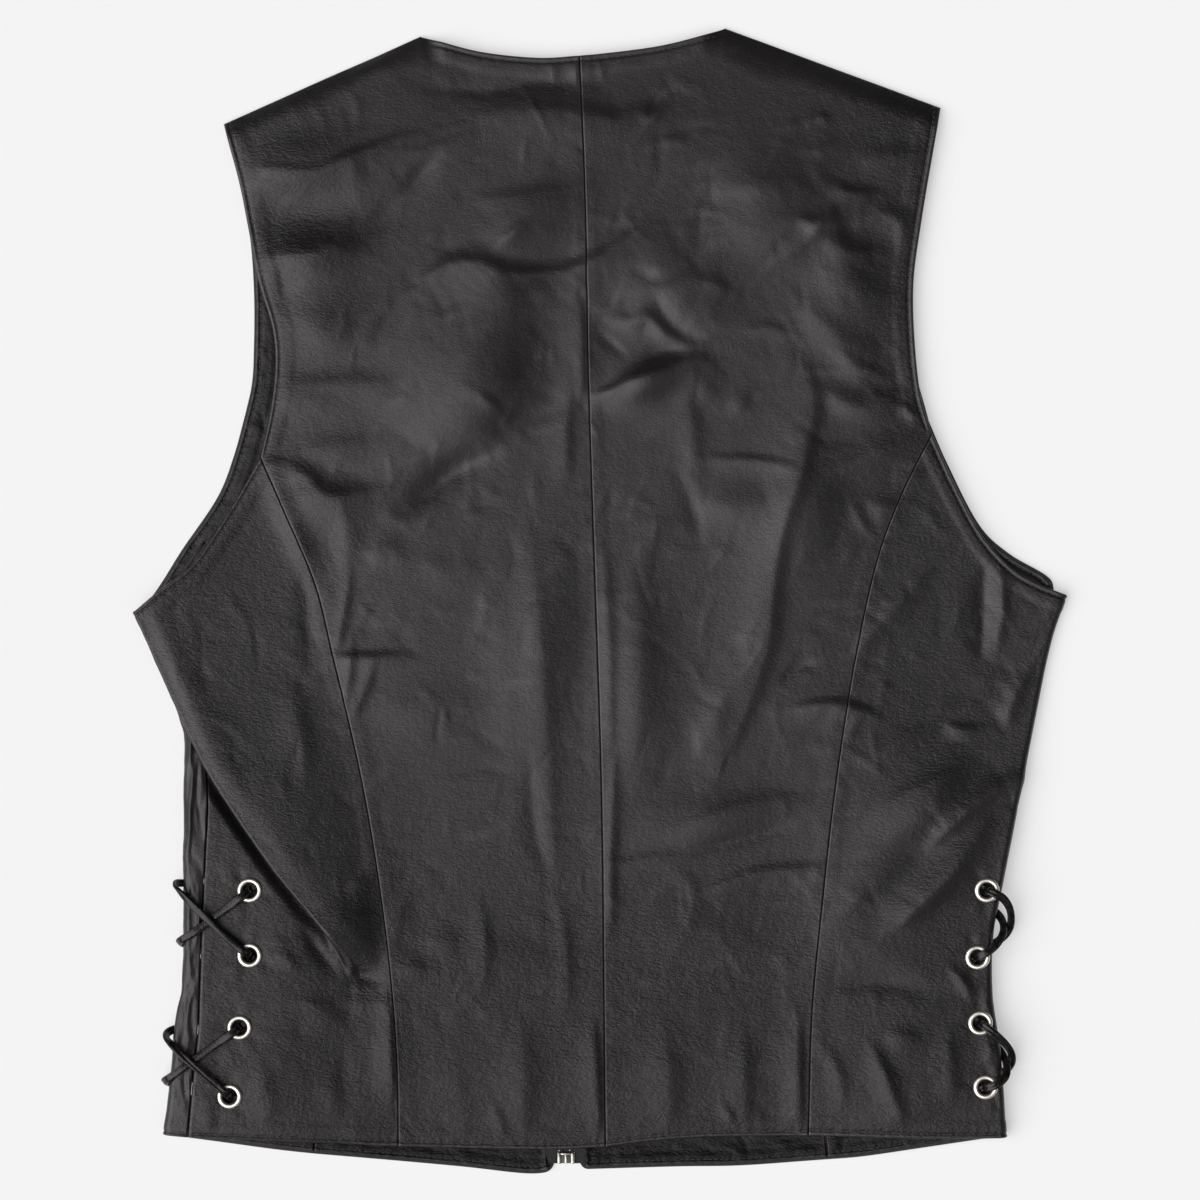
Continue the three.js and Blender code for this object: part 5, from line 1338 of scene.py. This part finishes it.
def placing_tree():
    """A tree that sets a thing on every point of a mesh, turned as the point's heading says."""
    tree = bpy.data.node_groups.new("set_in_place", "GeometryNodeTree")
    inputs = {"Geometry": "Geometry", "Thing": "Object", "Finish": "Material", "Unevenness": "Float",
              "Seed": "Int"}
    for name, kind in inputs.items():
        tree.interface.new_socket(name, in_out="INPUT", socket_type="NodeSocket" + kind)
    tree.interface.new_socket("Geometry", in_out="OUTPUT", socket_type="NodeSocketGeometry")

    def node(kind, settings=None, sockets=None):
        return add_node(tree, kind, settings, sockets)

    given = node("NodeGroupInput").outputs
    thing = node("GeometryNodeObjectInfo", None, {"Object": given["Thing"]})
    heading = node("GeometryNodeInputNamedAttribute", {"data_type": "FLOAT_VECTOR"}, {"Name": "heading"})
    turn = node("FunctionNodeEulerToRotation", None, {0: heading.outputs[0]})
    spread_low = node("ShaderNodeMath", {"operation": "SUBTRACT"}, {0: 1.0, 1: given["Unevenness"]})
    spread_high = node("ShaderNodeMath", {"operation": "ADD"}, {0: 1.0, 1: given["Unevenness"]})
    size = node("FunctionNodeRandomValue", {"data_type": "FLOAT"},
                {2: spread_low.outputs[0], 3: spread_high.outputs[0], "Seed": given["Seed"]})
    placed = node("GeometryNodeInstanceOnPoints", None,
                  {"Points": given["Geometry"], "Instance": thing.outputs["Geometry"],
                   "Rotation": turn.outputs[0], "Scale": size.outputs[1]})
    whole = node("GeometryNodeRealizeInstances", None, {"Geometry": placed.outputs[0]})
    dressed = node("GeometryNodeSetMaterial", None,
                   {"Geometry": whole.outputs[0], "Material": given["Finish"]})
    node("NodeGroupOutput", None, {"Geometry": dressed.outputs[0]})
    return tree


placing = placing_tree()


def set_in_place(name, thing_points, thing_faces, places, headings, finish, slot, stands_for=(),
                 uneven=0.0, seed=0):
    """One mesh of copies of a small thing, at places in millimetres, turned by headings (Euler angles)."""
    thing_mesh = bpy.data.meshes.new(name + "_one")
    thing_places = (np.asarray(thing_points) * MM).tolist()
    thing_mesh.from_pydata(thing_places, [], [list(face) for face in thing_faces])
    thing_mesh.shade_smooth()
    thing = bpy.data.objects.new(name + "_one", thing_mesh)
    scene.collection.objects.link(thing)
    points = bpy.data.meshes.new(name + "_places")
    points.from_pydata((np.asarray(places) * MM).tolist(), [], [])
    points.attributes.new("heading", "FLOAT_VECTOR", "POINT").data.foreach_set("vector", np.ravel(headings))
    holder = bpy.data.objects.new(name + "_places", points)
    scene.collection.objects.link(holder)
    modifier = holder.modifiers.new("placing", "NODES")
    modifier.node_group = placing
    wanted = {"Thing": thing, "Finish": finish, "Unevenness": uneven, "Seed": seed}
    for item in placing.interface.items_tree:
        if item.in_out == "INPUT" and item.name in wanted:
            modifier[item.identifier] = wanted[item.name]
    depsgraph = bpy.context.evaluated_depsgraph_get()
    mesh = bpy.data.meshes.new_from_object(holder.evaluated_get(depsgraph))
    mesh.name = name
    holder.modifiers.clear()
    for spare in (holder, thing):
        bpy.data.objects.remove(spare)
    obj = bpy.data.objects.new(name, mesh)
    scene.collection.objects.link(obj)
    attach(obj, "vest")
    if stands_for:
        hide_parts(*stands_for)
    return obj


def along_path(path, pitch):
    """Places at a pitch along a path, and their headings."""
    steps = np.linalg.norm(np.diff(path, axis=0), axis=1)
    reached = np.concatenate([[0], np.cumsum(steps)])
    wanted = np.arange(pitch, reached[-1] - pitch, pitch)
    places = np.stack([np.interp(wanted, reached, path[:, axis]) for axis in range(3)], -1)
    places[:, 2] = np.maximum(places[:, 2], STITCH_DEPTH)
    heading = unit(np.gradient(places, axis=0))
    angles = np.column_stack([np.zeros(len(places)), -np.arcsin(heading[:, 2]),
                              np.arctan2(heading[:, 1], heading[:, 0])])
    return places, angles


def stitch():
    """One stitch: a thread that bows up from both its ends."""
    rings = []
    turns = np.linspace(0, 2 * np.pi, STITCH_SIDES, endpoint=False)
    for share in np.linspace(0, 1, STITCH_RINGS):
        radius = THREAD * (0.35 + 0.65 * math.sin(math.pi * share) ** 0.5)
        along = np.full(STITCH_SIDES, (share - 0.5) * STITCH_LENGTH)
        lift = 0.22 * math.sin(math.pi * share) - 0.12
        rings.append(np.column_stack([along, radius * np.cos(turns), lift + radius * np.sin(turns)]))
    return np.concatenate(rings), tube_faces(STITCH_RINGS, STITCH_SIDES)


def thread():
    look = Finish("black_thread")
    twist = look.noise(look.stretched(look.places, (2, 2, 1)), 1800, 2)
    colour = look.mixed((0.010, 0.010, 0.010, 1), (0.05, 0.048, 0.047, 1), twist.between(0.3, 0.7))
    return look.surface(colour, 0.55, twist, 0.0001)


stitch_places, stitch_headings = zip(*(along_path(path, STITCH_PITCH) for path in stitch_paths))
set_in_place("topstitching", *stitch(), np.concatenate(stitch_places), np.concatenate(stitch_headings),
             thread(), "tape", uneven=0.08, seed=3)


# Eyelets: two-part rings of bright nickel-plated brass, pressed through the leather. The flange is
# rounded, and the barrel goes through to a smaller rim on the other side.
EYELET_SIDES = 40
EYELET_PROFILE = [
    (4.0, -2.0), (5.0, -2.0), (5.2, -1.8), (4.6, -1.5), (4.5, 0.2), (6.45, 0.05), (6.7, 0.25), (6.62, 0.5),
    (6.3, 0.85), (5.8, 1.12), (5.3, 1.2), (4.8, 1.1), (4.35, 0.85), (4.1, 0.5), (4.0, 0.1),
]


def nickel_plate(name, dark, pale, roughness):
    look = Finish(name)
    film = look.noise(look.places, 260, 3)
    scratches = look.noise(look.stretched(look.places, (1, 6, 1)), 900, 2)
    colour = look.mixed(dark, pale, film.between(0.35, 0.65))
    return look.surface(colour, roughness + 0.12 * scratches, film, 0.00002, Metallic=1.0)


nickel = nickel_plate("nickel_plate", (0.74, 0.71, 0.64, 1), (0.93, 0.91, 0.85, 1), 0.36)
turns = np.linspace(0, 2 * np.pi, EYELET_SIDES, endpoint=False)
ring_points = np.concatenate([np.column_stack([radius * np.cos(turns), radius * np.sin(turns),
                                               np.full(EYELET_SIDES, height)])
                              for radius, height in EYELET_PROFILE])
ring_faces = [(i * EYELET_SIDES + k, i * EYELET_SIDES + (k + 1) % EYELET_SIDES,
               (i + 1) % len(EYELET_PROFILE) * EYELET_SIDES + (k + 1) % EYELET_SIDES,
               (i + 1) % len(EYELET_PROFILE) * EYELET_SIDES + k)
              for i in range(len(EYELET_PROFILE)) for k in range(EYELET_SIDES)]
places, headings, stood_for = [], [], []
for number, pair in enumerate(eyelets):
    for face, height, turned in (("back", lower_back_height, 0.0), ("front", front_height, math.pi)):
        x, y = pair[face]
        places.append((x, y, float(height(np.array(x), np.array(y)))))
        headings.append((turned, 0.0, 0.4 * number))
        stood_for.append(f"eyelet_{face}_{pair['side']}_{number % 4 + 1}")
set_in_place("eyelets", ring_points, ring_faces, places, headings, nickel, "nickel", stood_for)


# Zip: woven tapes sewn inside the fronts' edges, a chain of metal teeth between them, a box at the hem and
# a slider at the top, whose pull hangs from a bridge.
TAPE = 0.9
TAPE_HALF_GAP = 1.6
TAPE_WIDTH = 10.4
TAPE_END = -304.9
TOOTH_PITCH = 2.4
CHAIN_TOP = ZIP_TOP - 16
CHAIN_END = -294.5
CHAIN_RISE = 2.25  # the middle of its teeth over the fronts' lower side


def woven_tape():
    look = Finish("zip_tape_weave")
    ribs = look.noise(look.stretched(look.places, (3, 0.4, 1)), 700, 1)
    weave = look.cells(look.stretched(look.places, (1, 1.6, 1)), 1500)
    colour = look.mixed((0.006, 0.006, 0.007, 1), (0.022, 0.022, 0.024, 1), weave * 0.7 + ribs * 0.5)
    return look.surface(colour, 0.85, weave + ribs, 0.00025)


tape_finish = woven_tape()
for side in (left, right):
    outward = -1 if side is left else 1
    shares_down = np.linspace(0, 1, 150)
    y = ZIP_TOP + (TAPE_END - ZIP_TOP) * shares_down
    offsets = np.array([0, 0.5, 1.2, 2.2, 3.05, 4.4, 6.2, 8, 9.4, 10.0, TAPE_WIDTH])
    x = ZIP_X + outward * (TAPE_HALF_GAP + offsets)
    tape_x, tape_y = np.meshgrid(x, y)
    tape_z = front_height(tape_x, tape_y) + FACING_LIFT
    cord_bead = 0.3 * np.exp(-(((offsets - 0.8) / 0.7) ** 2)) - 0.15 * (offsets == 0)
    tape_grid = {"points": np.stack([tape_x, tape_y, tape_z], -1), "relief": cord_bead + 0 * tape_x,
                 "inside": 0.0, "rub": 0.0}
    middle_y = (tape_y[:-1, :-1] + tape_y[1:, :-1]) / 2
    middle_x = (tape_x[:-1, :-1] + tape_x[:-1, 1:]) / 2
    tape_grid["keep"] = ~((middle_y < -298.7) & (np.abs(middle_x - ZIP_X) < 4.9))
    tape, _ = cloth("zip_tape_" + side["name"] + "_weave", [tape_grid], TAPE, tape_finish,
                    ["zip_tape_" + side["name"]])

zip_metal = nickel_plate("zip_metal", (0.34, 0.33, 0.29, 1), (0.5, 0.49, 0.45, 1), 0.24)
# Painted shade: the plate at the bottom of the zip box's recess is coloured far darker than the box's own
# metal.
recess_painted_shade = nickel_plate("zip_box_painted_shade", (0.06, 0.065, 0.055, 1), (0.12, 0.125, 0.11, 1), 0.35)

tooth_section = [(-1.7, -0.45), (0.9, -0.5), (1.5, -0.25), (1.5, 0.25), (0.9, 0.5), (-1.7, 0.45)]
tooth_points = [(x, y, z) for z in (-0.9, 0.9) for x, y in tooth_section]
tooth_faces = [(5, 4, 3, 2, 1, 0), (6, 7, 8, 9, 10, 11)] + [
    (k, (k + 1) % 6, 6 + (k + 1) % 6, 6 + k) for k in range(6)]
places, headings = [], []
for outward, start_y in ((-1, CHAIN_TOP), (1, CHAIN_TOP - TOOTH_PITCH / 2)):
    for y in np.arange(start_y, CHAIN_END, -TOOTH_PITCH):
        x = ZIP_X + outward * 1.1
        places.append((x, y, float(front_height(np.array(x), np.array(y))) + CHAIN_RISE))
        headings.append((0.0, 0.0, math.pi if outward > 0 else 0.0))
set_in_place("zip_teeth", tooth_points, tooth_faces, places, headings, zip_metal, "nickel")


def bars(name, blocks, finish, stands_for, bevel, body="vest"):
    """Bars of metal with rounded edges, from their lowest and highest corners in millimetres."""
    points, faces = [], []
    for low, high in blocks:
        first = len(points)
        points += [(x, y, z) for z in (low[2], high[2]) for y in (low[1], high[1])
                   for x in (low[0], high[0])]
        for face in ((0, 2, 3, 1), (4, 5, 7, 6), (0, 1, 5, 4), (2, 6, 7, 3), (0, 4, 6, 2), (1, 3, 7, 5)):
            faces.append([first + corner for corner in face])
    obj = piece(name, points, faces, finish, body=body, stands_for=stands_for)
    edge = obj.modifiers.new("rounding", "BEVEL")
    edge.width = bevel * MM
    edge.segments = 3
    edge.harden_normals = False
    return obj


box_left, box_right = ZIP_X - 4.6, ZIP_X + 4.6
box_low, box_high = -305.05, -299.15
# The box's sunken floor plate, coloured dark as painted shade.
bars("zip_box_plate", [((box_left + 0.3, box_low + 0.2, 1.3), (box_right - 0.3, box_high - 0.2, 2.7))],
     recess_painted_shade, None, 0.2)
bars("zip_tape_end", [((ZIP_X - 3.2, box_high - 0.4, 1.3), (ZIP_X + 3.2, -293, 2.2))], tape_finish,
     None, 0.1)
bars("zip_box_metal", [
    ((box_left, box_low, 1.2), (box_left + 1.9, box_high, 3.9)),
    ((box_right - 1.9, box_low, 1.2), (box_right, box_high, 3.9)),
    ((ZIP_X - 0.75, box_low + 0.1, 1.3), (ZIP_X + 0.75, box_high - 0.1, 3.6)),
    ((box_left + 0.1, box_high - 1.2, 1.25), (box_right - 0.1, box_high, 3.8)),
    ((ZIP_X - 4.1, box_high + 0.7, 1.8), (ZIP_X - 3.1, box_high + 1.6, 3.4)),
    ((ZIP_X + 1.7, box_high + 0.9, 1.8), (ZIP_X + 2.7, box_high + 1.9, 3.4)),
], zip_metal, ["zip_box"], 0.35)

for node in ("zip_slider", "zip_pull"):
    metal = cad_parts[node]
    metal.data.materials.clear()
    metal.data.materials.append(zip_metal)


# Floor and light: a plain pale floor, broad soft light low from the left and the right in front, none from
# behind, and a dim sky.
FLOOR_REACH = 6
FLOOR_HEIGHT = -0.0002


def pale_floor():
    look = Finish("pale_floor")
    fleck = look.noise(look.places, 3, 2)
    colour = look.mixed((0.427, 0.442, 0.445, 1), (0.433, 0.448, 0.45, 1), fleck)
    return look.surface(colour, 0.9, Emission_Color=(0.93, 0.93, 0.93, 1), Emission_Strength=0.485)


floor_mesh = bpy.data.meshes.new("floor")
floor_corners = [(x * FLOOR_REACH, y * FLOOR_REACH, FLOOR_HEIGHT)
                 for x, y in ((-1, -1), (1, -1), (1, 1), (-1, 1))]
floor_mesh.from_pydata(floor_corners, [], [(0, 1, 2, 3)])
floor_mesh.materials.append(pale_floor())
floor = bpy.data.objects.new("floor", floor_mesh)
scene.collection.objects.link(floor)

lights = [  # name, the way that the light goes, strength, width in degrees
    ("light_left", (0.60, 0.28, -0.82), 3.9, 68),
    ("light_right", (-0.7, 0.45, -0.9), 0.2, 40),
]
for name, way, strength, width in lights:
    lamp = bpy.data.lights.new(name, "SUN")
    lamp.energy = strength
    lamp.color = (1, 0.965, 0.96)
    lamp.angle = math.radians(width)
    light = bpy.data.objects.new(name, lamp)
    direction = unit(np.array(way, float))
    light.rotation_euler = (0, math.acos(-direction[2]), math.atan2(-direction[1], -direction[0]))
    scene.collection.objects.link(light)
world = bpy.data.worlds.new("dim_sky")
world.use_nodes = True
sky = world.node_tree.nodes["Background"].inputs
sky["Color"].default_value = (1, 1, 1, 1)
sky["Strength"].default_value = 0.02
scene.world = world
scene.view_settings.view_transform = "Standard"
